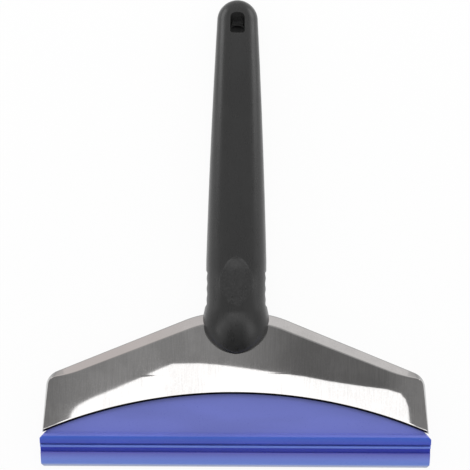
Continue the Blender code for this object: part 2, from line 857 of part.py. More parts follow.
def make_handle_rear():
    half = handle_solid("handle_rear", REAR, 0.0, handle_stations())
    cut(
        half,
        cavity_solid("rear_cavity", REAR),
        head_room("rear_room", REAR),
        SLOT,
        *NOTCHES,
        SCREW_WAYS,
    )
    return make_part(half, BLACK_PLASTIC)


def make_screw(label, y):
    """A pan-head screw, modelled head up and turned over, because it is driven from the back."""
    head, shank = SCREW_HEAD / 2, SCREW_SHANK / 2
    profile = [
        (0, SCREW_HEAD_HEIGHT),
        (SCREW_HEAD_FLAT / 2, SCREW_HEAD_HEIGHT),
        (head, SCREW_HEAD_HEIGHT / 2),
        (head, 0),
        (shank, 0),
        (shank, SCREW_POINT - SCREW_LENGTH),
        (0, -SCREW_LENGTH),
    ]
    name = f"handle_screw_{label}"
    screw = turned(name, profile)
    screw.location = (0, y, SCREW_SEAT_Z - CLEARANCE / 2)
    screw.rotation_euler = (math.pi, 0, 0)
    for i, (length, width) in enumerate(
        ((RECESS_LENGTH, RECESS_WIDTH), (RECESS_WIDTH, RECESS_LENGTH))
    ):
        slot = box(
            f"{name}_recess_{i + 1}",
            (-length / 2, -width / 2, SCREW_HEAD_HEIGHT - RECESS_DEPTH),
            (length / 2, width / 2, SCREW_HEAD_HEIGHT + OVERCUT),
        )
        slot.parent = screw
        cut(screw, slot)
    return make_part(screw, ZINC)


clear_scene()
PARTS = new_collection("ice_scraper")
CUTTERS = new_collection("cutters")
TOOL = new_empty("scraper", (0, -HANDLE_END_Y / 2, 0))

SCREW_POINTS = [(0, y) for y in SCREW_PLACES]
BOSSES = cylinders("bosses", SCREW_POINTS, BOSS_DIAMETER / 2, -OVERCUT, FAR)
SCREW_HOLES = cylinders("screw_holes", SCREW_POINTS, SCREW_HOLE / 2, -OVERCUT, 2 * MID_Z)
SCREW_BORES = cylinders(
    "screw_bores", SCREW_POINTS, SCREW_HOLE / 2, 0, SCREW_SEAT_Z + SCREW_LENGTH + SCREW_BORE_REST
)
SCREW_WAYS = combine(
    cylinders("screw_ways", SCREW_POINTS, SCREW_HOLE / 2, -OVERCUT, 2 * MID_Z),
    cylinders("head_bores", SCREW_POINTS, SCREW_HEAD / 2 + CLEARANCE, -OVERCUT, SCREW_SEAT_Z),
    "UNION",
)
ARCH = arch_cutter("arch", 0.0)
TANG_ROOM = tang_solid("tang_room", CLEARANCE)
RIVET_PLACES = (("lower", RIVET_LOW_Y), ("upper", RIVET_LOW_Y + RIVET_SPACING))
RIVET_CUTTERS = [rivet_solid(f"rivet_hole_{n}", y, CLEARANCE / 2) for n, y in RIVET_PLACES]
SLOT = slot_cutter()
NOTCHES = [notch_cutter(side) for side in (-1, 1)]

BLADE_SLIDE = new_empty("blade_slide", (0, ARC_TOP_Y, MID_Z), TOOL)
make_blade(BLADE_SLIDE)
make_shell("head_shell_front", FRONT)
make_shell("head_shell_rear", REAR)
make_core()
make_tang()
for label, place in RIVET_PLACES:
    make_part(rivet_solid(f"tang_rivet_{label}", place, 0.0), ZINC)
make_handle_front()
make_handle_rear()
for label, place in zip(SCREW_NAMES, SCREW_PLACES):
    make_screw(label, place)
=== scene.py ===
"""Dresses the packed ice scraper: its visible pieces, their finishes, and the stage they are shown on."""

import math
from contextlib import contextmanager

import bmesh
import bpy
from bpy.props import FloatProperty, FloatVectorProperty, IntProperty, PointerProperty
from mathutils import Matrix, Vector


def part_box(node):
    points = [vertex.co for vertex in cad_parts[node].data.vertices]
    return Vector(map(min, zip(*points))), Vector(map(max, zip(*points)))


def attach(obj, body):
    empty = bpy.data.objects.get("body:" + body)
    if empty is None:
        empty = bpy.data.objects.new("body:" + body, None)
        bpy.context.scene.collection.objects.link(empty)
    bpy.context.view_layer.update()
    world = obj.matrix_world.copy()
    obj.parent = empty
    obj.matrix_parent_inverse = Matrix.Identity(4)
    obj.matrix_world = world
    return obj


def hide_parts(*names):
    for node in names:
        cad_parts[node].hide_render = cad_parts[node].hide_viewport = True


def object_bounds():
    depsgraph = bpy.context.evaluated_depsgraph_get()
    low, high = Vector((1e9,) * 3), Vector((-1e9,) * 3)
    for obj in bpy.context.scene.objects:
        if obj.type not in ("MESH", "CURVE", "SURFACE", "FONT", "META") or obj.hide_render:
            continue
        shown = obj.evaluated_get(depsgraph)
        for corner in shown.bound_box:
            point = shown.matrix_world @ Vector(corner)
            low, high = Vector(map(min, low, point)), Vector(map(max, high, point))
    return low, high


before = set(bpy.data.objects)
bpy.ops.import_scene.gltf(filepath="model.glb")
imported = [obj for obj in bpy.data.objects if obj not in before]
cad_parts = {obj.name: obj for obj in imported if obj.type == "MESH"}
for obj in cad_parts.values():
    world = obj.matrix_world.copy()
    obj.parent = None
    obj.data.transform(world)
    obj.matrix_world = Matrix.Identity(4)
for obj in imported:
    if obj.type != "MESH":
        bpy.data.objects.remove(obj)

bl_info = {
    "name": "Ice scraper",
    "version": (1, 0, 0),
    "blender": (4, 5, 0),
    "location": "View3D > Sidebar > Scraper",
    "description": "Builds the dressed pieces of an ice scraper around its packed solids",
    "category": "Object",
}

CAD_LOW, CAD_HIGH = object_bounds()
HEAD_BODY, BLADE_BODY = "handle_and_head", "blade_insert"
FRONT, REAR = 1, -1

# Distances along the tool are measured from the scraping edge, which the frame places here
EDGE_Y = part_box("blade")[0].y
MID_Z = (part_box("blade")[0].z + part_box("blade")[1].z) / 2
HANDLE_END_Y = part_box("handle_front")[1].y - EDGE_Y
BLADE_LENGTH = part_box("blade")[1].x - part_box("blade")[0].x

# Clearances, in metres as all sizes here
CLEARANCE = 0.0003
SEAM_GAP = 0.0003
SEAM_TONGUE_LOW_Y = 0.1000
SEAM_TONGUE_INSET = 0.0015
SEAM_TONGUE_ROOT = 0.0006
SEAM_TONGUE_REST = 0.00003
OVERCUT = 0.001
FAR = 0.030

# Handle
TIP_WIDTH, TIP_DEPTH = 0.0166, 0.0072
MIDDLE_Y, MIDDLE_WIDTH, MIDDLE_DEPTH = 0.1330, 0.0213, 0.0098
GRIP_Y, GRIP_WIDTH, GRIP_DEPTH = 0.0840, 0.0246, 0.0118
GRIP_END_Y = 0.0690
BULB_WIDTH, BULB_DEPTH = 0.0278, 0.0137
BULB_CREST_Y, BULB_ROUND_Y, BULB_LOW_Y = 0.0640, 0.0575, 0.0463
BULB_NOSE_DEPTH, BULB_FALL_POWER = 0.0070, 1.5
BULB_BACK_THINNING = 0.0007
SECTION_POWER = 2.7
END_ROUND_SHARE = 0.9985
TIP_ROUND_Y = HANDLE_END_Y - TIP_WIDTH / 2

# Grip notches and thumb scoop
NOTCH_PITCH, NOTCH_FIRST_Y = 0.0043, 0.0664
NOTCH_DEPTH, NOTCH_RIDGE_DEPTH = 0.0005, 0.00025
NOTCH_RUN_IN, NOTCH_RUN_OUT = 0.0014, 0.0010
NOTCH_BELOW_MIDDLE, NOTCH_ABOVE_MIDDLE = 0.0036, 0.0062
NOTCH_END_ROUND = 0.0006
SCOOP_Y, SCOOP_ACROSS, SCOOP_ALONG = 0.0756, 0.0067, 0.0103
SCOOP_POINT = 1.6
SCOOP_LIP_SHARE = 0.12
SCOOP_BOWL_FROM, SCOOP_BOWL_TO = -0.05, 1.1
SCOOP_FADE_LOW, SCOOP_FADE_HIGH = 0.0650, 0.0740

# Hanging slot
SLOT_BELOW_END = 0.0136
SLOT_ARCH, SLOT_CORNER, SLOT_SLANT = 0.0017, 0.0006, 0.67
SLOT_LIP, SLOT_LIP_MIDDLE, SLOT_LIP_SPREAD = 0.0004, 0.00008, 0.0003

# Screws at the back
SCREW_PLACES = (0.0720, 0.1030, HANDLE_END_Y - 0.0407)
SCREW_NODES = ("handle_screw_lower", "handle_screw_middle", "handle_screw_upper")
SCREW_SEAT_Z = 0.0020
SCREW_HOLE = 0.0034
SCREW_SHANK, SCREW_HEAD_HEIGHT, SCREW_POINT = 0.00145, 0.0015, 0.0015
SCREW_HEAD_CURVE = ((0.45, 0.99), (0.78, 0.86), (0.95, 0.58), (1.0, 0.25))
THREAD_LOW, THREAD_SHORT, THREAD_DEPTH, THREAD_PITCH = 0.0012, 0.003, 0.00018, 0.00055
THREAD_RISE, THREAD_FALL = 0.3, 0.6
SCREW_TURN, SCREW_SEED = 3.1, 5
RECESS_REACH, RECESS_HALF_WIDTH, RECESS_DEPTH = 0.0015, 0.0004, 0.0009

# Head
STEEL = 0.0008
HEAD_WIDTH_LOW, HEAD_WIDTH_SHOULDER, HEAD_WIDTH_TOP = 0.1588, 0.1543, 0.0268
HEAD_LOW_Y, HEAD_SHOULDER_Y, HEAD_TOP_Y = 0.0095, 0.0371, 0.0629
HEAD_HALF_DEPTH, HEAD_FRONT_RISE, HEAD_RISE_AT_ARCH = 0.0040, 0.0023, 1 / 3
SIDE_BEVEL, SHOULDER_BEVEL, NECK_BEVEL = 0.0010, 0.0034, 0.0044
SHOULDER_RUN, SHOULDER_ROUND, FACE_CORNER_ROUND = 0.0105, 0.0045, 0.0025
SLOPE_ROUND, TOP_ROUND = 0.004, 0.008
ARC_RADIUS, ARC_TOP_Y = 0.2027, 0.0299
ARC_CENTRE_Y = ARC_TOP_Y - ARC_RADIUS
BEVEL_PROFILE = (
    (0.0, 0.0),
    (0.008, 0.10),
    (0.03, 0.18),
    (0.08, 0.25),
    (0.80, 0.907),
    (0.86, 0.953),
    (0.92, 0.982),
    (1.0, 1.0),
)
EDGE_STRIP, EDGE_LINE, EDGE_TURN = 0.00050, 0.00020, 0.00068
EDGE_STRIP_TILT, EDGE_LINE_TILT, EDGE_DROP = 0.6, 12.0, 0.9 * STEEL
EDGE_BEVEL, EDGE_SEGMENTS, EDGE_STRIP_SHARE, EDGE_LINE_SHARE = 0.00072, 12, 0.25, 0.4
TANG_WIDTH, TANG_THICKNESS, TANG_LOW_Y, TANG_HIGH_Y = 0.0138, 0.0028, 0.0435, 0.1120
NECK_HIGH_Y = 0.0800

# Blade
BAR_THICKNESS, BAR_HEIGHT = 0.0116, 0.0121
EDGE_THICKNESS, LIP_THICKNESS = 0.0024, 0.0082
LIP_HEIGHT, LIP_SHOULDER_HEIGHT = 0.0061, 0.0024
LIP_CURVE = ((0.12, 0.20), (0.28, 0.38), (0.5, 0.55), (0.75, 0.70), (1.0, 0.82), (1.5, 0.93))
RIDGE_THICKNESS, RIDGE_LOW, RIDGE_HIGH = 0.0097, 0.0079, 0.0091
GROOVE_THICKNESS = 0.0062
NARROW_GROOVE_THICKNESS, NARROW_GROOVE_WIDTH = 0.0082, 0.0004
BAR_EDGE_ROUND = 0.0005
BAR_TO_PLATE_RISE, BAR_TO_PLATE_STEPS = 0.0016, 14
RIDGE_STEPS, RIDGE_ROUND = 12, 0.0006
PLATE_THICKNESS, PLATE_OVERLAP = 0.0058, 0.009
BAR_END_CHAMFER, BAR_END_DROP, BAR_END_SLANT, BAR_CORNER = 0.0017, 0.0019, 0.0005, 0.0010
TAB_SPACING, TAB_WIDTH, TAB_REACH, TAB_THICKNESS, TAB_ROOT = 0.070, 0.024, 0.008, 0.0024, 0.004
BLADE_EDGE_BEVEL, BLADE_EDGE_STEPS, BLADE_EDGE_ANGLE = 0.00018, 2, 40.0

# Where each mark begins and where it is full, as distances from the scraping edge: the painted highlights on
# the scoop's upper rim, the shaft, the tip and the lip, and the edge's wear
SCOOP_RIM_HIGHLIGHT = (SCOOP_Y - 0.009, SCOOP_Y - 0.001)
SHAFT_SHEEN, TIP_SHEEN = (0.064, 0.075), (0.150, 0.186)
LIP_LIT_Y, EDGE_WORN = 0.0015, (0.0014, 0.0004)

# The scoop's coarse grain fills this share of its outline
SCOOP_PAINT_SHARE = 0.96

# Above the bar's top, where its blue turns into the plate's, and above the ridge, where the shoulder's
# painted highlight starts
PLATE_FADE, SHOULDER_HIGHLIGHT_FADE = (0.0002, 0.0010), 0.001

# How far from the ridge's line its painted highlight fades, how far below its middle the line lies, and how
# far from the middle plane the highlight starts
RIDGE_HIGHLIGHT, RIDGE_HIGHLIGHT_DROP, RIDGE_HIGHLIGHT_DEPTH = (0.0006, 0.0009), 0.00015, 0.0035

# Across the head, where the bevels' painted warm reflection grows, and where the sheet's finish is worn
# smoother
REFLECTION_WARM_ACROSS, STEEL_WORN_ACROSS = (0.01, -0.05), (-0.075, 0.010)

# How far from the arch the painted warm reflection starts, and how softly the painted dark along the arch's
# rolled edge ends
REFLECTION_WARM_FROM_ARCH, EDGE_SHADE_FADE = 0.003, 0.00008

# Mesh fineness
SECTION_POINTS = 128
REAR_SECTION_POINTS = 72
SECTION_SAMPLES = 900
CORNER_STEPS = 10
ARC_STEPS = 96
BULB_PITCH, NOTCH_STATION_PITCH, SHAFT_PITCH = 0.00035, 0.0002, 0.0013
FINE_HIGH_Y = 0.0865
END_STATIONS = 26
SLOT_STEPS = 16
PLATE_FIT_ROUNDS = 4
HOLE_SIDES, SCREW_SIDES, FLOOR_SIDES = 48, 40, 96
ON_ARCH = 2e-5
SAME_PLACE = 1e-6

# Photograph's frame: its scale at the tool's middle plane, its middle, and the tool's slight turn in it
PIXELS = 470
PIXEL = 0.0004092
EDGE_ROW = 466.55
MIDDLE_COLUMN = 236.45
FRAME_TURN = 0.29

# Where the card's edge shows in the steel's face, as pixels of the photograph, clockwise from low on the left
CARD_OUTLINE = (
    (25, 520),
    (25, 452),
    (62, 446),
    (70, 417.3),
    (71.9, 412.2),
    (77, 405.9),
    (91, 398.2),
    (116.5, 388),
    (142, 376.5),
    (161.2, 367.6),
    (172.7, 363.1),
    (199.4, 362.5),
    (218.6, 363.8),
    (240, 366.3),
    (276, 371.2),
    (304, 375),
    (332, 380.6),
    (360.3, 384.9),
    (388.3, 388.1),
    (406.5, 392.6),
    (411.4, 398.2),
    (412.4, 406.6),
    (410, 420.6),
    (408, 446),
    (445, 452),
    (445, 520),
)

# Stage, in world metres
WHITE = (1.0, 1.0, 1.0, 1.0)
FLOOR_REACH, FLOOR_DROP = 3.0, 0.0001
FLAG_HALF = ((0.018, -0.25, 0.507), (0.09, -0.37, 0.424), (0.19, -0.52, 0.32), (0.52, -0.9, 0.06))
FLAG_GREY = (0.08, 0.08, 0.08)
SIDE_CARD = ((0.06, -0.22), (0.40, -0.26), (0.66, -0.48), (0.32, -0.56))
SIDE_LIGHT_PLACE, SIDE_LIGHT_AIM, SIDE_LIGHT_SIZE = (0.5, 0.31, 0.15), (0, 0.06, 0), 0.4
KEY_PLACE, KEY_SIZE = (0, 0.5, 0.7), 0.5

# Surround: between which values of the direction's x, y or z each change lies, and how much it adds
SKY_MIDDLE_Z, SKY_TOP_Z = 0.75, (0.96, 0.988)
SKY_FAR_Y, SKY_FAR = (0.22, 0.40), -0.25
SKY_HORIZON_Y, SKY_HORIZON = (0.55, 0.75), 0.25
SKY_SIDE_X, SKY_BEHIND_Y = (-0.012, 0.03), (-0.02, 0.09)
SKY_RIGHT_X, SKY_RIGHT = (0.052, 0.072), 0.14
SKY_LEFT_X, SKY_LEFT = (-0.056, -0.076), -0.17


def blend(low, high, share):
    return low + (high - low) * share


def smooth_step(value, low, high):
    share = min(1.0, max(0.0, (value - low) / (high - low)))
    return share * share * (3 - 2 * share)


def quarter(share):
    """Height of a quarter circle over its flat radius, from 1 at the centre to 0 at the end."""
    return math.sqrt(max(0.0, 1 - share * share))


def rounded_end(share):
    return quarter(END_ROUND_SHARE * share)


def curve_through(y, values):
    """A smooth curve through the tip's, the middle's and the grip's value."""
    places = (TIP_ROUND_Y, MIDDLE_Y, GRIP_Y)
    total = 0.0
    for i, value in enumerate(values):
        weight = 1.0
        for j, place in enumerate(places):
            if j != i:
                weight *= (y - place) / (places[i] - place)
        total += value * weight
    return total


def handle_size(y):
    """The handle's half width at y, and its depth in front of and behind the middle plane."""
    body_y = max(y, GRIP_Y)
    half_width = curve_through(body_y, (TIP_WIDTH, MIDDLE_WIDTH, GRIP_WIDTH)) / 2
    front = curve_through(body_y, (TIP_DEPTH, MIDDLE_DEPTH, GRIP_DEPTH))
    back = MID_Z
    if y > TIP_ROUND_Y:
        share = rounded_end((y - TIP_ROUND_Y) / (HANDLE_END_Y - TIP_ROUND_Y))
        return TIP_WIDTH / 2 * share, TIP_DEPTH * math.sqrt(share), back * math.sqrt(share)
    swell = 1 - smooth_step(y, BULB_ROUND_Y, GRIP_END_Y)
    half_width = blend(half_width, BULB_WIDTH / 2, swell)
    lift = 1 - smooth_step(y, BULB_CREST_Y, GRIP_Y)
    front = blend(front, BULB_DEPTH, lift)
    if y < BULB_CREST_Y:
        share = min(1.0, (BULB_CREST_Y - y) / (BULB_CREST_Y - BULB_LOW_Y))
        fall = (1 - share**BULB_FALL_POWER) ** (1 / BULB_FALL_POWER)
        front = blend(BULB_NOSE_DEPTH, BULB_DEPTH, fall)
    if y < BULB_ROUND_Y:
        share = rounded_end((BULB_ROUND_Y - y) / (BULB_ROUND_Y - BULB_LOW_Y))
        half_width *= share
        back -= BULB_BACK_THINNING * (1 - share)
    return half_width, front, back


def round_stations(centre, end, count):
    """Places from a rounding's centre to its end, closer together near the end."""
    return [centre + (end - centre) * math.sin(math.pi / 2 * i / count) for i in range(1, count + 1)]


def even_stations(low, high, pitch):
    count = max(1, round((high - low) / pitch))
    return [blend(low, high, i / count) for i in range(count)]


def handle_stations():
    return [
        *reversed(round_stations(BULB_ROUND_Y, BULB_LOW_Y, END_STATIONS)),
        *even_stations(BULB_ROUND_Y, NOTCH_FIRST_Y - NOTCH_RUN_IN, BULB_PITCH),
        *even_stations(NOTCH_FIRST_Y - NOTCH_RUN_IN, FINE_HIGH_Y, NOTCH_STATION_PITCH),
        *even_stations(FINE_HIGH_Y, TIP_ROUND_Y, SHAFT_PITCH),
        TIP_ROUND_Y,
        *round_stations(TIP_ROUND_Y, HANDLE_END_Y, END_STATIONS),
    ]


def even_section(count):
    """Points of a unit half section, from +x over the top to -x, evenly spaced along it."""
    dense = []
    for step in range(SECTION_SAMPLES + 1):
        turn = math.pi * step / SECTION_SAMPLES
        across, up = math.cos(turn), abs(math.sin(turn))
        x = math.copysign(abs(across) ** (2 / SECTION_POWER), across)
        dense.append(Vector((x, up ** (2 / SECTION_POWER))))
    lengths = [0.0]
    for before, after in zip(dense, dense[1:]):
        lengths.append(lengths[-1] + (after - before).length)
    points, i = [], 0
    for step in range(count + 1):
        goal = lengths[-1] * step / count
        while i < len(dense) - 2 and lengths[i + 1] < goal:
            i += 1
        share = (goal - lengths[i]) / (lengths[i + 1] - lengths[i])
        points.append(dense[i].lerp(dense[i + 1], min(1.0, share)))
    return points


def notch_depth(y, notch_count):
    """How far the waved recess for the fingers lies inside the handle's outline."""
    last_y = NOTCH_FIRST_Y + (notch_count - 1) * NOTCH_PITCH
    wave = (1 + math.cos(2 * math.pi * (y - NOTCH_FIRST_Y) / NOTCH_PITCH)) / 2
    depth = blend(NOTCH_RIDGE_DEPTH, NOTCH_DEPTH, wave)
    run_in = smooth_step(y, NOTCH_FIRST_Y - NOTCH_RUN_IN, NOTCH_FIRST_Y)
    return depth * run_in * (1 - smooth_step(y, last_y, last_y + NOTCH_RUN_OUT))


def notched(x, y, z, half_width, notch_count):
    """Moves a point on the handle's side into the waved recess."""
    depth = notch_depth(y, notch_count)
    if depth <= 0:
        return x
    low, high = MID_Z - NOTCH_BELOW_MIDDLE, MID_Z + NOTCH_ABOVE_MIDDLE
    hold = smooth_step(z, low - NOTCH_END_ROUND, low) * (1 - smooth_step(z, high, high + NOTCH_END_ROUND))
    return math.copysign(min(abs(x), half_width - depth * hold), x)


def scoop_share(x, y):
    """How far inside the thumb scoop's pointed oval a point lies: 1 at its middle, 0 at its rim."""
    across = abs(x) / SCOOP_ACROSS
    along = abs(y - SCOOP_Y) / SCOOP_ALONG
    return 1 - across**2 - along ** (SCOOP_POINT if y > SCOOP_Y else 2.0)


def scooped(x, y, z, shape):
    """Lowers a point on the handle's front into the thumb scoop, with a fine lip round its rim."""
    share = scoop_share(x, y)
    if share < -SCOOP_LIP_SHARE or z < MID_Z:
        return z
    fade = smooth_step(y, SCOOP_FADE_LOW, SCOOP_FADE_HIGH)
    bowl = shape.scoop_depth * smooth_step(share, SCOOP_BOWL_FROM, SCOOP_BOWL_TO)
    step = shape.scoop_step * fade * smooth_step(share, 0.0, SCOOP_LIP_SHARE)
    lip = shape.scoop_lip * fade * math.exp(-((share / (SCOOP_LIP_SHARE / 2)) ** 2))
    return z - bowl - step + lip


def closed_loft(rings):
    """A closed solid, as a bmesh, through rings that have the same number of points."""
    shape = bmesh.new()
    rows = [[shape.verts.new(point) for point in ring] for ring in rings]
    count = len(rings[0])
    for lower, upper in zip(rows, rows[1:]):
        for i in range(count):
            j = (i + 1) % count
            shape.faces.new((lower[i], lower[j], upper[j], upper[i]))
    shape.faces.new(rows[0])
    shape.faces.new(rows[-1])
    bmesh.ops.recalc_face_normals(shape, faces=shape.faces)
    return shape


def box_shape(low, high):
    low, high = Vector(low), Vector(high)
    shape = bmesh.new()
    bmesh.ops.create_cube(shape, size=1.0)
    bmesh.ops.scale(shape, verts=shape.verts, vec=high - low)
    bmesh.ops.translate(shape, verts=shape.verts, vec=(low + high) / 2)
    return shape


def prism_shape(points, low, high):
    """An outline in the tool's x and y, raised from low to high."""
    return closed_loft([[(x, y, z) for x, y in points] for z in (low, high)])


def cylinder_shape(places, radius, low, high):
    """Upright cylinders of one size, with no corner on the tool's centre line."""
    turn = Matrix.Rotation(math.pi / HOLE_SIDES, 4, "Z")
    shape = bmesh.new()
    for y in places:
        bmesh.ops.create_cone(
            shape,
            cap_ends=True,
            segments=HOLE_SIDES,
            radius1=radius,
            radius2=radius,
            depth=high - low,
            matrix=Matrix.Translation((0, y, (low + high) / 2)) @ turn,
        )
    return shape


def as_object(name, shape):
    """Makes an object of a bmesh in the tool's own coordinates."""
    mesh = bpy.data.meshes.new(name)
    shape.to_mesh(mesh)
    shape.free()
    obj = bpy.data.objects.new(name, mesh)
    bpy.context.scene.collection.objects.link(obj)
    return obj


@contextmanager
def reshaping(obj):
    """Lends the object's mesh as a bmesh, and puts it back when it has been changed."""
    shape = bmesh.new()
    shape.from_mesh(obj.data)
    yield shape
    shape.to_mesh(obj.data)
    shape.free()


def evaluated_mesh(obj):
    bpy.context.view_layer.update()
    graph = bpy.context.evaluated_depsgraph_get()
    mesh = bpy.data.meshes.new_from_object(obj.evaluated_get(graph))
    mesh.name = obj.name
    return mesh


def apply_modifiers(obj):
    """Makes what the object's modifiers give its plain mesh."""
    mesh = evaluated_mesh(obj)
    obj.modifiers.clear()
    old, obj.data = obj.data, mesh
    bpy.data.meshes.remove(old)


def joined(obj, operation, *others):
    """Applies booleans, and removes what was only needed for them."""
    for other in others:
        modifier = obj.modifiers.new(operation, "BOOLEAN")
        modifier.operation = operation
        modifier.object = other
    apply_modifiers(obj)
    for other in others:
        bpy.data.objects.remove(other)
    return obj


def finish_piece(obj, finish, body, nodes, edge_angle=32.0, flat_faces=False):
    """Puts a piece in the frame: its place goes into its mesh, then it rides on its body."""
    mesh = obj.data
    mesh.transform(Matrix.Translation((0, EDGE_Y, 0)))
    mesh.materials.clear()
    mesh.materials.append(finish)
    mesh.shade_smooth()
    mesh.set_sharp_from_angle(angle=math.radians(edge_angle))
    if flat_faces:
        weighted = obj.modifiers.new("flat_faces", "WEIGHTED_NORMAL")
        weighted.mode = "FACE_AREA"
        weighted.weight = 100
        weighted.keep_sharp = True
        apply_modifiers(obj)
    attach(obj, body)
    if nodes:
        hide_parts(*nodes)
    return obj


class Tree:
    """A node tree that is being written: short ways to add nodes and join them."""

    def __init__(self, tree):
        self.tree = tree

    def node(self, kind, settings=None, **inputs):
        """Adds a node. Inputs are values or the sockets of other nodes, by name or by number."""
        made = self.tree.nodes.new(kind)
        for name, value in (settings or {}).items():
            setattr(made, name, value)
        for name, value in inputs.items():
            socket = made.inputs[int(name[1:])] if name[1:].isdigit() else made.inputs[name.replace("_", " ")]
            if isinstance(value, bpy.types.NodeSocket):
                self.tree.links.new(value, socket)
            else:
                socket.default_value = value
        return made

    def math(self, operation, *values):
        inputs = {f"i{i}": value for i, value in enumerate(values)}
        return self.node("ShaderNodeMath", {"operation": operation}, **inputs).outputs[0]

    def product(self, one, other):
        return self.math("MULTIPLY", one, other)

    def total(self, first, *others):
        for value in others:
            first = self.math("ADD", first, value)
        return first

    def distance(self, value, place):
        return self.math("ABSOLUTE", self.math("SUBTRACT", value, place))

    def split(self, vector):
        return self.node("ShaderNodeSeparateXYZ", Vector=vector).outputs

    def ramp(self, value, low, high, out_low=0.0, out_high=1.0, kind="SMOOTHSTEP"):
        ends = {"From_Min": low, "From_Max": high, "To_Min": out_low, "To_Max": out_high}
        return self.node("ShaderNodeMapRange", {"interpolation_type": kind}, Value=value, **ends).outputs[0]


class Recipe(Tree):
    """A material that is being written."""

    def __init__(self, name):
        self.material = bpy.data.materials.new(name)
        self.material.use_nodes = True
        super().__init__(self.material.node_tree)
        self.tree.nodes.clear()
        self.output = self.tree.nodes.new("ShaderNodeOutputMaterial")
        coordinates = self.tree.nodes.new("ShaderNodeTexCoord").outputs
        self.place, self.facing = coordinates["Object"], coordinates["Normal"]

    def tool_place(self):
        """A point's x, its distance from the scraping edge, and its height over the middle plane."""
        x, y, z = self.split(self.place)
        return x, self.math("SUBTRACT", y, EDGE_Y), self.math("SUBTRACT", z, MID_Z)

    def noise(self, scale, detail, roughness):
        inputs = {"Vector": self.place, "Scale": scale, "Detail": detail, "Roughness": roughness}
        return self.node("ShaderNodeTexNoise", **inputs).outputs["Fac"]

    def drawn_noise(self, scales, detail, roughness):
        """Noise with a scale of its own along each axis, for marks that are longer one way."""
        place = self.node("ShaderNodeVectorMath", {"operation": "MULTIPLY"}, i0=self.place, i1=scales)
        inputs = {"Vector": place.outputs[0], "Scale": 1.0, "Detail": detail, "Roughness": roughness}
        return self.node("ShaderNodeTexNoise", **inputs).outputs["Fac"]

    def mix(self, share, one, other):
        """A mix of two colours."""
        return self.node("ShaderNodeMix", {"data_type": "RGBA"}, i0=share, i6=one, i7=other).outputs[2]

    def layered(self, colour, *layers):
        """The colour with others laid over it, each given with its share."""
        for share, other in layers:
            colour = self.mix(share, colour, other)
        return colour

    def bump(self, height, depth, strength=1.0, before=None):
        inputs = {"Height": height, "Distance": depth, "Strength": strength}
        if before:
            inputs["Normal"] = before
        return self.node("ShaderNodeBump", **inputs).outputs[0]

    def shows(self, shader):
        self.tree.links.new(shader.outputs[0], self.output.inputs["Surface"])
        return self.material

    def surface(self, **inputs):
        return self.shows(self.node("ShaderNodeBsdfPrincipled", **inputs))


def rgb(colour):
    return (*colour[:3], 1.0)


def lighter(colour, factor):
    return (*(min(1.0, channel * factor) for channel in colour[:3]), 1.0)


def scoop_masks(recipe, x, y, z):
    """Where the thumb scoop is, and the painted highlight line round its upper rim."""
    across = recipe.math("DIVIDE", recipe.distance(x, 0.0), SCOOP_ACROSS * SCOOP_PAINT_SHARE)
    along = recipe.math("DIVIDE", recipe.distance(y, SCOOP_Y), SCOOP_ALONG * SCOOP_PAINT_SHARE)
    total = recipe.total(recipe.math("POWER", across, 2.0), recipe.math("POWER", along, SCOOP_POINT))
    front = recipe.math("GREATER_THAN", z, 0.0)
    oval = recipe.product(recipe.ramp(total, 0.90, 1.0, 1.0, 0.0), front)
    # painted highlight: a line along the scoop's rim, kept to its upper part
    line = recipe.ramp(recipe.distance(total, 1.0), 0.03, 0.14, 1.0, 0.0)
    line = recipe.product(line, recipe.ramp(y, *SCOOP_RIM_HIGHLIGHT))
    return oval, recipe.product(line, front)


def handle_plastic(finish):
    """Black moulded plastic with a fine spark-eroded grain, coarser in the thumb scoop, and painted
    highlights: a lighter shaft and tip, and a lighter line round the scoop's upper rim.
    """
    recipe = Recipe("handle_black_plastic")
    x, y, z = recipe.tool_place()
    black = finish.black
    grain = recipe.noise(2600.0, 3.0, 0.6)
    coarse = recipe.noise(1150.0, 2.0, 0.6)
    cloud = recipe.noise(95.0, 2.0, 0.5)
    scuffs = recipe.drawn_noise((420.0, 90.0, 420.0), 4.0, 0.7)
    scoop, rim = scoop_masks(recipe, x, y, z)
    # painted sheen: the shaft above the bulb's crest is lighter, and the tip more so, standing for the light
    # they catch
    painted_sheen = recipe.total(recipe.ramp(y, *SHAFT_SHEEN, 0.0, 0.35), recipe.ramp(y, *TIP_SHEEN, 0.0, 0.55))
    tone = recipe.layered(
        lighter(black, 0.92),
        (recipe.ramp(cloud, 0.35, 0.65), lighter(black, 1.08)),
        (painted_sheen, lighter(black, 1.5)),
        (recipe.product(scoop, recipe.ramp(coarse, 0.40, 0.70)), lighter(black, 1.75)),
        # painted highlight: the line round the scoop's upper rim is lighter, where its lip catches the light
        (rim, lighter(black, 1.6)),
    )
    shine = recipe.ramp(scuffs, 0.35, 0.75, finish.black_roughness - 0.05, finish.black_roughness + 0.07)
    fine = recipe.bump(grain, 0.00002, 0.35)
    rough = recipe.bump(coarse, 0.00006, recipe.product(scoop, 0.8), fine)
    return recipe.surface(Base_Color=tone, Roughness=shine, Normal=rough)


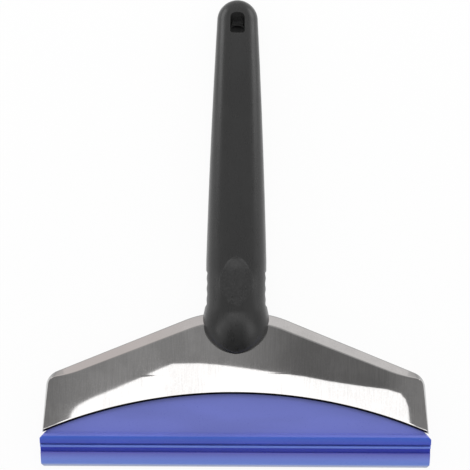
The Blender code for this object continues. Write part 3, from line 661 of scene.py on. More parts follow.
def brushed_steel(finish):
    """Thin stainless sheet, brushed along the tool, worn smoother towards its right end, with painted light:
    a warm reflection on the bevels, painted shade on the steep sides, and a dark band along the arch's rolled
    edge.
    """
    recipe = Recipe("brushed_steel_sheet")
    x, y, _ = recipe.tool_place()
    steel = finish.steel
    hair = recipe.drawn_noise((2300.0, 60.0, 2300.0), 3.0, 0.65)
    streak = recipe.drawn_noise((620.0, 14.0, 620.0), 2.0, 0.5)
    cloud = recipe.noise(60.0, 3.0, 0.55)
    speck = recipe.noise(2100.0, 1.0, 0.5)
    facing = recipe.split(recipe.facing)
    sideways, upright = (recipe.math("ABSOLUTE", facing[axis]) for axis in "XZ")
    from_arch = recipe.math("POWER", recipe.math("SUBTRACT", y, ARC_CENTRE_Y), 2.0)
    from_arch = recipe.math("SQRT", recipe.total(from_arch, recipe.math("POWER", x, 2.0)))
    off_arch = recipe.math("GREATER_THAN", from_arch, ARC_RADIUS + REFLECTION_WARM_FROM_ARCH)
    # painted reflection: the bevels, tilted from the face, get a warm tint for what they reflect, more of it
    # on the left
    warm_reflection = recipe.ramp(upright, 0.80, 0.95, 1.0, 0.0)
    warm_reflection = recipe.product(warm_reflection, recipe.ramp(x, *REFLECTION_WARM_ACROSS, 0.20, 0.80))
    edge_shade_start = ARC_RADIUS + EDGE_TURN + EDGE_LINE
    tone = recipe.layered(
        lighter(steel, 0.96),
        (recipe.ramp(hair, 0.30, 0.70), lighter(steel, 1.10)),
        (recipe.ramp(cloud, 0.40, 0.62, 0.35, 0.0), lighter(steel, 0.68)),
        (recipe.ramp(streak, 0.35, 0.75, 0.0, 0.10), lighter(steel, 0.85)),
        (recipe.ramp(speck, 0.45, 0.75, 0.0, 0.22), lighter(steel, 1.3)),
        (recipe.product(warm_reflection, off_arch), rgb(finish.steel_reflected_warm)),
        # painted shade: the steep walls, and the sides that face across the tool, are darker, standing for
        # the shaded floor they reflect
        (recipe.ramp(upright, 0.52, 0.36), lighter(steel, 0.42)),
        (recipe.ramp(sideways, 0.50, 0.65), lighter(steel, 0.5)),
        # painted shade: the rolled edge and the steeper line by the arch are dark, standing for their dark
        # reflection and the shadow under the edge
        (recipe.ramp(from_arch, edge_shade_start - EDGE_SHADE_FADE, edge_shade_start, 1.0, 0.0), rgb(finish.steel_edge_shade)),
    )
    worn = recipe.ramp(x, *STEEL_WORN_ACROSS, finish.steel_roughness, finish.steel_roughness * 0.8)
    shine = recipe.product(worn, recipe.ramp(cloud, 0.3, 0.7, 0.85, 1.15))
    across = recipe.node(
        "ShaderNodeVectorTransform",
        {"vector_type": "VECTOR", "convert_from": "OBJECT", "convert_to": "WORLD"},
        Vector=(1.0, 0.0, 0.0),
    ).outputs[0]
    ridges = recipe.bump(hair, 0.000002, 0.03)
    sheen = {"Roughness": shine, "Anisotropic": 0.4, "Tangent": across, "Normal": ridges}
    return recipe.surface(Base_Color=tone, Metallic=1.0, **sheen)


def blade_plastic(finish):
    """Blue plastic, deep in the thick bar and paler in the thin plate, with faint flow marks, and painted
    light: highlights on the bar's shoulder, its ridge and the lip, and painted shade in the groove.
    """
    recipe = Recipe("blade_blue_plastic")
    _, y, z = recipe.tool_place()
    flow = recipe.ramp(recipe.drawn_noise((22.0, 70.0, 70.0), 3.0, 0.5), 0.35, 0.65)
    hair = recipe.drawn_noise((60.0, 1500.0, 1500.0), 3.0, 0.6)
    grain = recipe.noise(1700.0, 3.0, 0.6)
    plate = recipe.mix(flow, rgb(finish.plate_blue), lighter(finish.plate_blue, 1.12))
    bar = recipe.mix(flow, rgb(finish.bar_blue), lighter(finish.bar_blue, 1.15))
    # painted highlight: the bar's top, towards the plate, goes to a brighter, more cyan blue where it catches
    # the light
    shoulder_highlight = recipe.ramp(y, RIDGE_HIGH + SHOULDER_HIGHLIGHT_FADE, BAR_HEIGHT, 0.0, 0.6)
    bar = recipe.mix(shoulder_highlight, bar, rgb(finish.shoulder_highlight_blue))
    # painted light: the lip goes from a shaded blue by the groove to a lit, paler blue towards the scraping
    # edge, as it catches light from below
    lip_light_share = recipe.ramp(y, LIP_HEIGHT, LIP_LIT_Y, kind="LINEAR")
    lip = recipe.mix(lip_light_share, rgb(finish.lip_shaded_blue), rgb(finish.lip_lit_blue))
    # painted shade: the groove is dark, darkest by the lip and lighter towards the ridge
    groove_shade_share = recipe.ramp(y, LIP_HEIGHT, RIDGE_LOW, kind="LINEAR")
    groove = recipe.mix(groove_shade_share, lighter(finish.groove_shade_blue, 0.8), lighter(finish.groove_shade_blue, 2.1))
    from_ridge = recipe.distance(y, (RIDGE_LOW + RIDGE_HIGH) / 2 - RIDGE_HIGHLIGHT_DROP)
    outside = recipe.math("GREATER_THAN", recipe.distance(z, 0.0), RIDGE_HIGHLIGHT_DEPTH)
    above_lip = recipe.math("GREATER_THAN", y, LIP_HEIGHT)
    below_ridge = recipe.math("LESS_THAN", y, RIDGE_LOW)
    colour = recipe.layered(
        bar,
        (recipe.ramp(y, *(BAR_HEIGHT + fade for fade in PLATE_FADE)), plate),
        # painted highlight: a paler line along the ridge's round, in the lip's lit colour
        (recipe.product(recipe.ramp(from_ridge, *RIDGE_HIGHLIGHT, 0.70, 0.0), outside), rgb(finish.lip_lit_blue)),
        (recipe.math("LESS_THAN", y, LIP_HEIGHT), lip),
        (recipe.product(below_ridge, above_lip), groove),
        (recipe.ramp(y, *EDGE_WORN, 0.0, 0.8), rgb(finish.edge_blue)),
    )
    shine = recipe.ramp(grain, 0.3, 0.7, finish.blue_roughness - 0.03, finish.blue_roughness + 0.05)
    marks = recipe.bump(hair, 0.000008, 0.25, recipe.bump(grain, 0.00001, 0.25))
    return recipe.surface(Base_Color=colour, Roughness=shine, Normal=marks)


def plain_finish(name, marks, colours, roughness, depth, strength, metallic=0.0):
    """A finish that goes between two colours and two roughnesses. Its marks are a noise's scales, detail
    and roughness."""
    recipe = Recipe(name)
    height = recipe.drawn_noise(*marks)
    shine = recipe.ramp(height, 0.3, 0.7, *roughness)
    bump = recipe.bump(height, depth, strength)
    tone = recipe.mix(height, *(rgb(colour) for colour in colours))
    return recipe.surface(Base_Color=tone, Metallic=metallic, Roughness=shine, Normal=bump)


def plated_zinc():
    """Zinc-plated screw steel, with a fine turned grain."""
    colours = (0.50, 0.50, 0.49), (0.68, 0.68, 0.66)
    return plain_finish("plated_zinc", ((900.0,) * 3, 3.0, 0.6), colours, (0.24, 0.40), 0.00002, 0.3, 1.0)


def rolled_bar():
    """Plain rolled steel of the tang."""
    marks = (700.0, 60.0, 700.0), 4.0, 0.6
    colours = (0.30, 0.30, 0.30), (0.46, 0.45, 0.44)
    return plain_finish("rolled_bar_steel", marks, colours, (0.34, 0.50), 0.00003, 0.4, 1.0)


def core_plastic():
    """Plain black plastic of the core, unpolished."""
    colours = (0.022, 0.022, 0.024), (0.036, 0.036, 0.038)
    return plain_finish("core_black_plastic", ((1400.0,) * 3, 3.0, 0.6), colours, (0.55, 0.68), 0.00004, 0.4)


def offset_polygon(points, distance):
    """The polygon, listed anticlockwise, with each side moved outwards."""
    count = len(points)
    moved = []
    for i, here in enumerate(points):
        before, after = Vector(points[i - 1]), Vector(points[(i + 1) % count])
        here = Vector(here)
        one, two = (here - before).normalized(), (after - here).normalized()
        out_one, out_two = Vector((one.y, -one.x)), Vector((two.y, -two.x))
        between = (out_one + out_two).normalized()
        moved.append(here + between * (distance / max(between.dot(out_one), 0.1)))
    return moved


def rounded_polygon(points, rounds):
    """The polygon with each corner drawn as a curve, which starts its own distance before the corner."""
    count = len(points)
    drawn = []
    for i, here in enumerate(points):
        if not rounds[i]:
            drawn.append(here)
            continue
        start = here + (points[i - 1] - here).normalized() * rounds[i]
        end = here + (points[(i + 1) % count] - here).normalized() * rounds[i]
        for step in range(CORNER_STEPS + 1):
            share = step / CORNER_STEPS
            drawn.append(start.lerp(here, share).lerp(here.lerp(end, share), share))
    return drawn


def mirrored(half):
    return [*half, *((-x, y) for x, y in reversed(half))]


def head_corners():
    """Corners of the head's rim and of its flat face, each with its roundings, listed anticlockwise."""
    low = Vector((HEAD_WIDTH_LOW / 2, HEAD_LOW_Y))
    shoulder = Vector((HEAD_WIDTH_SHOULDER / 2, HEAD_SHOULDER_Y))
    top = Vector((HEAD_WIDTH_TOP / 2, HEAD_TOP_Y))
    along = (top - shoulder).normalized()
    inward = Vector((-along.y, along.x))
    slope = shoulder + along * SHOULDER_RUN
    rim = mirrored([low, shoulder, slope, top])
    face = mirrored(
        [
            low + Vector((-SIDE_BEVEL, 0)),
            shoulder + Vector((-SIDE_BEVEL, -SIDE_BEVEL)),
            slope + inward * SHOULDER_BEVEL,
            top + inward * NECK_BEVEL,
        ]
    )
    rim_rounds = [0, SHOULDER_ROUND, SLOPE_ROUND, TOP_ROUND]
    face_rounds = [0, FACE_CORNER_ROUND, SLOPE_ROUND, TOP_ROUND]
    return rim, rim_rounds + rim_rounds[::-1], face, face_rounds + face_rounds[::-1]


def head_half_depth(side, y):
    if side == REAR:
        return HEAD_HALF_DEPTH
    rise = (y - ARC_TOP_Y) / (HEAD_TOP_Y - ARC_TOP_Y)
    return HEAD_HALF_DEPTH + HEAD_FRONT_RISE * blend(HEAD_RISE_AT_ARCH, 1, rise)


def head_shape(side, grow, start):
    """One half of the head as a solid that starts at that height above the middle plane."""
    rim, rim_rounds, face, face_rounds = head_corners()
    outer = rounded_polygon(offset_polygon(rim, grow), rim_rounds)
    inner = rounded_polygon(offset_polygon(face, grow), face_rounds)
    rings = []
    for inset, share in BEVEL_PROFILE:
        ring = []
        for x, y in (a.lerp(b, inset) for a, b in zip(outer, inner)):
            height = share * (head_half_depth(side, y) + grow) if share else start
            ring.append((x, y, MID_Z + side * height))
        rings.append(ring)
    return closed_loft(rings)


def neck_shape(side, grow, start, high):
    """One half of the flat sleeve round the tang."""
    half_width = TANG_WIDTH / 2 + CLEARANCE + grow
    half_depth = TANG_THICKNESS / 2 + CLEARANCE + grow
    low, top = sorted((MID_Z + side * start, MID_Z + side * half_depth))
    return box_shape((-half_width, HEAD_TOP_Y - NECK_BEVEL, low), (half_width, high, top))


def arc_height(x, grow=0.0):
    return ARC_CENTRE_Y + math.sqrt((ARC_RADIUS + grow) ** 2 - x * x)


def under_arc(grow, half_width, feet):
    """Outline of the space under the head's arched lower edge, with the arch raised by grow. Its feet are
    the points of its right side, from the lowest up."""
    points = [*((-x, y) for x, y in reversed(feet)), *feet]
    for step in range(ARC_STEPS + 1):
        x = blend(half_width, -half_width, step / ARC_STEPS)
        points.append((x, arc_height(x, grow)))
    return points


def edge_point(share):
    """A point of the arch's edge, from the sheet's face at 0 to its cut at 1: how far inside the cut it
    lies, and how far under the face. A bright strip, very slightly tilted, comes first, then a steeper
    line, then a round."""
    tilt, steeper = (math.tan(math.radians(angle)) for angle in (EDGE_STRIP_TILT, EDGE_LINE_TILT))
    if share < EDGE_STRIP_SHARE:
        across = EDGE_STRIP * share / EDGE_STRIP_SHARE
        return EDGE_STRIP + EDGE_LINE + EDGE_TURN - across, across * tilt
    drop = EDGE_STRIP * tilt
    if share < EDGE_LINE_SHARE:
        across = EDGE_LINE * (share - EDGE_STRIP_SHARE) / (EDGE_LINE_SHARE - EDGE_STRIP_SHARE)
        return EDGE_LINE + EDGE_TURN - across, drop + across * steeper
    drop += EDGE_LINE * steeper
    turn = math.pi / 2 * (share - EDGE_LINE_SHARE) / (1 - EDGE_LINE_SHARE)
    return EDGE_TURN * (1 - math.sin(turn)), drop + (EDGE_DROP - drop) * (1 - math.cos(turn))


def roll_arch_edge(obj, side):
    """Rounds the sheet's outer edge along the arch, where it is polished."""
    with reshaping(obj) as shape:
        chosen = []
        for edge in shape.edges:
            ends = [vert.co for vert in edge.verts]
            on_arch = all(abs(math.hypot(p.x, p.y - ARC_CENTRE_Y) - ARC_RADIUS) < ON_ARCH for p in ends)
            outside = all(side * (p.z - MID_Z) > head_half_depth(side, p.y) - STEEL / 2 for p in ends)
            if on_arch and outside and len(edge.link_faces) == 2:
                chosen.append(edge)
        kind = {"offset_type": "OFFSET", "profile": 0.5, "affect": "EDGES"}
        made = bmesh.ops.bevel(shape, geom=chosen, offset=EDGE_BEVEL, segments=EDGE_SEGMENTS, **kind)
        for vert in made["verts"]:
            across = Vector((vert.co.x, vert.co.y - ARC_CENTRE_Y))
            inward = across.length - ARC_RADIUS
            if not -SAME_PLACE < inward < EDGE_BEVEL + SAME_PLACE:
                continue
            share = math.acos(min(1.0, max(0.0, 1 - inward / EDGE_BEVEL))) / (math.pi / 2)
            inward, drop = edge_point(1 - share)
            across = across.normalized() * (ARC_RADIUS + inward)
            vert.co.x, vert.co.y = across.x, ARC_CENTRE_Y + across.y
            vert.co.z = MID_Z + side * (head_half_depth(side, vert.co.y) - drop)


def bar_profile():
    """The bar's section from the middle plane out: (distance from the scraping edge, half thickness)."""
    ridge, groove = RIDGE_THICKNESS / 2, GROOVE_THICKNESS / 2
    narrow, bar, plate = NARROW_GROOVE_THICKNESS / 2, BAR_THICKNESS / 2, PLATE_THICKNESS / 2
    small = BAR_EDGE_ROUND
    shoulder_low = RIDGE_HIGH + NARROW_GROOVE_WIDTH
    nose = []
    for rise, share in LIP_CURVE:
        nose.append((LIP_SHOULDER_HEIGHT * rise, blend(EDGE_THICKNESS, LIP_THICKNESS, share) / 2))
    half_ridge = (RIDGE_HIGH - RIDGE_LOW) / 2
    bead = []
    for step in range(RIDGE_STEPS + 1):
        turn = math.pi * step / RIDGE_STEPS
        rise = ridge - RIDGE_ROUND + RIDGE_ROUND * math.sin(turn)
        bead.append((RIDGE_LOW + half_ridge * (1 - math.cos(turn)), rise))
    neck = []
    for step in range(1, BAR_TO_PLATE_STEPS + 1):
        rise = math.sin(math.pi / 2 * step / BAR_TO_PLATE_STEPS)
        neck.append((BAR_HEIGHT + BAR_TO_PLATE_RISE * rise, blend(plate, bar, quarter(rise))))
    return [
        (0.0, EDGE_THICKNESS / 2),
        *nose,
        (LIP_HEIGHT - small / 2, LIP_THICKNESS / 2),
        (LIP_HEIGHT, LIP_THICKNESS / 2 - small / 2),
        (LIP_HEIGHT, groove),
        (RIDGE_LOW, groove),
        *bead,
        (RIDGE_HIGH, narrow),
        (shoulder_low, narrow),
        (shoulder_low, bar - small),
        (shoulder_low + small / 3, bar - small / 4),
        (shoulder_low + small, bar),
        (BAR_HEIGHT, bar),
        *neck,
    ]


def bar_end_points(side):
    """What one end of the bar loses: a chamfer at the head, a slight slant and a small corner."""
    end = BLADE_LENGTH / 2
    top = BAR_HEIGHT + BAR_TO_PLATE_RISE
    low = end - BAR_END_SLANT - BAR_CORNER
    points = [
        (end - BAR_END_CHAMFER, top + OVERCUT),
        (end - BAR_END_CHAMFER, top),
        (end, top - BAR_END_DROP),
        (end - BAR_END_SLANT, BAR_CORNER),
        (low - OVERCUT, -OVERCUT),
        (end + OVERCUT, -OVERCUT),
        (end + OVERCUT, top + OVERCUT),
    ]
    return [(side * x, y) for x, y in points]


def plate_half_width(y):
    """The plate stays inside the bevels of the head's side walls."""
    rise = (y - HEAD_LOW_Y) / (HEAD_SHOULDER_Y - HEAD_LOW_Y)
    room = blend(HEAD_WIDTH_LOW, HEAD_WIDTH_SHOULDER, rise) / 2 - STEEL
    return room - SIDE_BEVEL - CLEARANCE


class ShapeTree(Tree):
    """A geometry tree with a geometry input and output, and named inputs for its sizes."""

    def __init__(self, name, inputs):
        super().__init__(bpy.data.node_groups.new(name, "GeometryNodeTree"))
        face = self.tree.interface
        face.new_socket("Geometry", in_out="INPUT", socket_type="NodeSocketGeometry")
        for label, (kind, value) in inputs.items():
            socket = face.new_socket(label, in_out="INPUT", socket_type=f"NodeSocket{kind}")
            if value is not None:
                socket.default_value = value
        face.new_socket("Geometry", in_out="OUTPUT", socket_type="NodeSocketGeometry")
        self.given = self.tree.nodes.new("NodeGroupInput").outputs

    def shape(self, kind, **inputs):
        """What a node makes of its inputs."""
        return self.node(kind, **inputs).outputs[0]

    def finished(self, geometry):
        """Ends the tree with real geometry, in the material that its input Finish gives."""
        real = self.shape("GeometryNodeRealizeInstances", Geometry=geometry)
        painted = self.shape("GeometryNodeSetMaterial", Geometry=real, Material=self.given["Finish"])
        self.node("NodeGroupOutput", Geometry=painted)
        return self.tree


def grown_mesh(obj, tree, values):
    """Runs a geometry tree on an object and returns the result as a plain mesh."""
    modifier = obj.modifiers.new(tree.name, "NODES")
    modifier.node_group = tree
    identifiers = {
        item.name: item.identifier
        for item in tree.interface.items_tree
        if item.item_type == "SOCKET" and item.in_out == "INPUT"
    }
    for label, value in values.items():
        modifier[identifiers[label]] = value
    mesh = evaluated_mesh(obj)
    obj.modifiers.clear()
    return mesh


def bar_tree():
    """Draws a section along a straight bar, and closes its ends."""
    tree = ShapeTree("scraper_bar", {"Length": ("Float", 0.1), "Finish": ("Material", None)})
    section = tree.shape("GeometryNodeMeshToCurve", Mesh=tree.given["Geometry"])
    half = tree.product(tree.given["Length"], 0.5)
    low = tree.shape("ShaderNodeCombineXYZ", Z=tree.product(half, -1.0))
    high = tree.shape("ShaderNodeCombineXYZ", Z=half)
    path = tree.shape("GeometryNodeCurvePrimitiveLine", Start=low, End=high)
    sweep = tree.shape("GeometryNodeCurveToMesh", Curve=path, Profile_Curve=section, Fill_Caps=True)
    return tree.finished(sweep)


def screw_tree():
    """Puts one screw on each point, each turned by its own amount."""
    sizes = {"Screw": ("Object", None), "Turn": ("Float", SCREW_TURN), "Seed": ("Int", SCREW_SEED)}
    tree = ShapeTree("scraper_screws", {**sizes, "Finish": ("Material", None)})
    points = tree.shape("GeometryNodeMeshToPoints", Mesh=tree.given["Geometry"])
    screw = tree.node("GeometryNodeObjectInfo", Object=tree.given["Screw"]).outputs["Geometry"]
    chance = tree.node("FunctionNodeRandomValue", i3=tree.given["Turn"], Seed=tree.given["Seed"]).outputs[1]
    turn = tree.shape("ShaderNodeCombineXYZ", Z=chance)
    return tree.finished(
        tree.shape("GeometryNodeInstanceOnPoints", Points=points, Instance=screw, Rotation=turn)
    )


def camera_point(stage):
    """Where the camera stands over the tool, in the tool's own coordinates."""
    middle = PIXELS / 2
    across, along = (middle - MIDDLE_COLUMN) * PIXEL, (EDGE_ROW - middle) * PIXEL
    return Vector((across, along, MID_Z + stage.camera_distance))


def photo_to_tool(column, row):
    """The point of the tool's middle plane that is seen at a pixel of the photograph."""
    middle = PIXELS / 2
    across, up = (column - MIDDLE_COLUMN) * PIXEL, (middle - row) * PIXEL
    turn = math.radians(FRAME_TURN)
    x = across * math.cos(turn) - up * math.sin(turn)
    y = across * math.sin(turn) + up * math.cos(turn)
    return x, y + (EDGE_ROW - middle) * PIXEL


def seen_in_face(x, y, stage):
    """The point at the card's height that the camera sees in the steel's flat face at x, y."""
    camera = camera_point(stage)
    slope = HEAD_FRONT_RISE * (1 - HEAD_RISE_AT_ARCH) / (HEAD_TOP_Y - ARC_TOP_Y)
    normal = Vector((0, -slope, 1)).normalized()
    height = MID_Z + head_half_depth(FRONT, y)
    toward = (camera - Vector((x, y, MID_Z))).normalized()
    place = camera - toward * ((camera.z - height) / toward.z)
    ray = -toward
    bounced = ray - 2 * ray.dot(normal) * normal
    return place + bounced * ((stage.card_height - height) / bounced.z)


def length_setting(name, description, default):
    return FloatProperty(
        name=name, description=description, default=default, subtype="DISTANCE", unit="LENGTH"
    )


def share_setting(name, description, default):
    return FloatProperty(name=name, description=description, default=default, subtype="FACTOR")


def level_setting(name, description, default):
    return FloatProperty(name=name, description=description, default=default)


def colour_setting(name, description, default):
    return FloatVectorProperty(name=name, description=description, default=default, subtype="COLOR")


class ScraperShape(bpy.types.PropertyGroup):
    slot_width: length_setting("Slot width", "Width of the hanging slot", 0.0058)
    slot_length: length_setting("Slot length", "Length of the hanging slot", 0.0086)
    notch_count: IntProperty(
        name="Grip notches", description="Notches on each side of the grip", default=4, min=1
    )
    scoop_depth: length_setting("Scoop depth", "Depth of the thumb scoop", 0.0012)
    scoop_lip: length_setting("Scoop lip", "Height of the fine lip round the scoop", 0.00010)
    scoop_step: length_setting("Scoop step", "Step down just inside the lip", 0.00012)
    screw_head: length_setting("Screw head", "Diameter of the screw heads", 0.0056)
    screw_length: length_setting("Screw length", "Length under the head", 0.0110)


class ScraperFinish(bpy.types.PropertyGroup):
    black: colour_setting("Handle black", "Colour of the handle's plastic", (0.019, 0.019, 0.019))
    black_roughness: share_setting("Handle roughness", "Roughness of the handle's plastic", 0.31)
    steel: colour_setting("Steel", "Colour of the steel sheet", (0.515, 0.505, 0.50))
    # painted reflection: the warm tint that the bevels show
    steel_reflected_warm: colour_setting("Steel bevels", "Colour of the bevels at their warmest", (0.47, 0.42, 0.405))
    # painted shade and dark reflection along the arch's rolled edge
    steel_edge_shade: colour_setting("Steel cut edge", "Colour of the sheet's dark cut edge", (0.045, 0.045, 0.060))
    steel_roughness: share_setting("Steel roughness", "Roughness of the steel where it is least worn", 0.026)
    bar_blue: colour_setting("Bar blue", "Colour of the blade's thick bar", (0.035, 0.062, 0.43))
    plate_blue: colour_setting("Plate blue", "Colour of the blade's thin plate", (0.138, 0.166, 0.53))
    # painted highlight: the lip's lit colour, also laid on the ridge
    lip_lit_blue: colour_setting("Lip blue", "Colour of the worn scraping lip", (0.20, 0.31, 0.86))
    # painted shade: the lip's colour next to the groove
    lip_shaded_blue: colour_setting("Lip top blue", "Colour of the lip next to the groove", (0.084, 0.082, 0.41))
    # painted highlight: the brighter blue of the bar's shoulder
    shoulder_highlight_blue: colour_setting("Shoulder blue", "Colour of the bar near the plate", (0.030, 0.115, 0.54))
    # painted shade: the dark blue deep in the groove
    groove_shade_blue: colour_setting("Groove blue", "Colour deep in the bar's groove", (0.004, 0.018, 0.35))
    edge_blue: colour_setting("Edge blue", "Colour of the worn scraping edge", (0.52, 0.57, 0.68))
    blue_roughness: share_setting("Blade roughness", "Roughness of the blade's plastic", 0.30)


class ScraperStage(bpy.types.PropertyGroup):
    camera_distance: length_setting("Camera distance", "Height of the camera over the tool", 1.1)
    card_height: length_setting("Card height", "Height of the white card that the steel reflects", 0.5)
    side_power: level_setting("Side lights", "Power of each side light in watts", 1.0)
    key_power: level_setting("Key light", "Power of the large light in watts", 2.3)
    card_strength: level_setting("Card strength", "Brightness of the white card", 2.1)
    side_card_strength: level_setting("Side cards", "Brightness of the cards beside the flag", 1.8)
    sky_low: level_setting("Surround", "Brightness of the surround near the horizon", 1.05)
    sky_middle: level_setting("Upper surround", "Brightness of the surround above 45 degrees", 0.68)
    sky_high: level_setting("Overhead", "Brightness of the surround straight overhead", 0.25)
    sky_left: level_setting("Overhead left", "The same, just left of the tool's middle", 0.50)
    sky_behind: level_setting("Overhead behind", "What the overhead gains beyond the handle's end", 0.40)
    floor: colour_setting("Floor", "Colour of the floor", (0.95, 0.95, 0.95))
    floor_white: share_setting("Floor white", "How far the seen floor goes to plain white", 0.93)


def slot_shape(shape):
    """The hanging slot with a slightly flared mouth: straight sides, an arched top, slanting to the back."""
    half, length = shape.slot_width / 2, shape.slot_length
    low = HANDLE_END_Y - SLOT_BELOW_END
    top = MID_Z + TIP_DEPTH
    face = MID_Z + handle_size(low)[1]
    levels = (
        (-OVERCUT, 0.0),
        (face - SLOT_LIP, 0.0),
        (face - SLOT_LIP / 2, SLOT_LIP_MIDDLE),
        (face, SLOT_LIP_SPREAD),
        (FAR, SLOT_LIP_SPREAD),
    )
    rings = []
    for z, grow in levels:
        wide = half + grow
        ring = [
            (-wide, low - grow + SLOT_CORNER),
            (-wide + SLOT_CORNER, low - grow),
            (wide - SLOT_CORNER, low - grow),
            (wide, low - grow + SLOT_CORNER),
        ]
        for step in range(SLOT_STEPS + 1):
            x = blend(wide, -wide, step / SLOT_STEPS)
            ring.append((x, low + length + grow - SLOT_ARCH * (1 - quarter(x / wide))))
        slant = SLOT_SLANT * (min(z, top) - top)
        rings.append([(x, y + slant, z) for x, y in ring])
    return closed_loft(rings)


def handle_shape(side, shape):
    """One half of the handle, with its grip notches and, in front, its thumb scoop."""
    unit = even_section(SECTION_POINTS if side == FRONT else REAR_SECTION_POINTS)
    rings = []
    for y in handle_stations():
        half_width, front, back = handle_size(y)
        depth = front if side == FRONT else back
        ring = []
        for across, up in unit:
            z = MID_Z + side * max(depth * up, SEAM_GAP / 2)
            x = notched(half_width * across, y, z, half_width, shape.notch_count)
            if side == FRONT:
                z = scooped(x, y, z, shape)
            ring.append((x, y, z))
        rings.append(ring)
    return closed_loft(rings)


def seam_tongue():
    """The tongue on the rear half that keeps light out of the seam, from beside the tang to the tip."""
    high = HANDLE_END_Y - SEAM_TONGUE_INSET
    half = []
    for y in (SEAM_TONGUE_LOW_Y, *(y for y in handle_stations() if SEAM_TONGUE_LOW_Y < y < high)):
        half_width = handle_size(y)[0]
        if half_width > 2 * SEAM_TONGUE_INSET:
            half.append((half_width - SEAM_TONGUE_INSET, y))
    top = MID_Z + SEAM_GAP / 2 - SEAM_TONGUE_REST
    return as_object("tongue", prism_shape(mirrored(half), MID_Z - SEAM_TONGUE_ROOT, top))


def head_room(side):
    """What one half of the handle leaves free for the head, its neck and the tang."""
    room = as_object("room", head_shape(side, CLEARANCE, -OVERCUT))
    neck = as_object("neck", neck_shape(side, STEEL + CLEARANCE, -OVERCUT, NECK_HIGH_Y + CLEARANCE))
    half_width, half_depth = TANG_WIDTH / 2 + CLEARANCE, TANG_THICKNESS / 2 + CLEARANCE
    low = (-half_width, TANG_LOW_Y - CLEARANCE, MID_Z - half_depth)
    high = (half_width, TANG_HIGH_Y + CLEARANCE, MID_Z + half_depth)
    return joined(room, "UNION", neck, as_object("tang_room", box_shape(low, high)))


class SCRAPER_OT_handle(bpy.types.Operator):
    """Builds the handle's two mouldings, with the slot, the notches, the scoop and the screw ways"""

    bl_idname = "scraper.handle"
    bl_label = "Handle"

    def execute(self, context):
        shape, finish = context.scene.scraper_shape, context.scene.scraper_finish
        plastic = handle_plastic(finish)
        front = as_object("handle_front_moulding", handle_shape(FRONT, shape))
        rear = as_object("handle_rear_moulding", handle_shape(REAR, shape))
        joined(front, "DIFFERENCE", head_room(FRONT), as_object("slot", slot_shape(shape)))
        ways = as_object("ways", cylinder_shape(SCREW_PLACES, SCREW_HOLE / 2, -OVERCUT, 2 * MID_Z))
        bore = shape.screw_head / 2 + CLEARANCE
        seats = as_object("seats", cylinder_shape(SCREW_PLACES, bore, -OVERCUT, SCREW_SEAT_Z))
        joined(ways, "UNION", seats)
        joined(rear, "UNION", seam_tongue())
        joined(rear, "DIFFERENCE", head_room(REAR), as_object("slot", slot_shape(shape)), ways)
        finish_piece(front, plastic, HEAD_BODY, ["handle_front"])
        finish_piece(rear, plastic, HEAD_BODY, ["handle_rear"])
        return {"FINISHED"}


class SCRAPER_OT_head(bpy.types.Operator):
    """Builds the head's two steel sheets, with the polished edge along the arch"""

    bl_idname = "scraper.head"
    bl_label = "Head"

    def execute(self, context):
        steel = brushed_steel(context.scene.scraper_finish)
        for side, label in ((FRONT, "front"), (REAR, "rear")):
            sheet = as_object(f"head_{label}_sheet", head_shape(side, 0.0, SEAM_GAP / 2))
            neck = as_object("neck", neck_shape(side, STEEL, SEAM_GAP / 2, NECK_HIGH_Y))
            joined(sheet, "UNION", neck)
            inside = as_object("inside", head_shape(side, -STEEL, -OVERCUT))
            passage = as_object("passage", neck_shape(side, 0.0, -OVERCUT, NECK_HIGH_Y + OVERCUT))
            wide = HEAD_WIDTH_LOW / 2 + OVERCUT
            arch = as_object("arch", prism_shape(under_arc(0.0, wide, [(wide, -OVERCUT)]), -OVERCUT, FAR))
            holes = as_object("holes", cylinder_shape(SCREW_PLACES, SCREW_HOLE / 2, -OVERCUT, 2 * MID_Z))
            joined(sheet, "DIFFERENCE", inside, passage, arch, holes)
            roll_arch_edge(sheet, side)
            node = f"head_shell_{label}"
            finish_piece(sheet, steel, HEAD_BODY, [node], edge_angle=35.0, flat_faces=True)
        return {"FINISHED"}


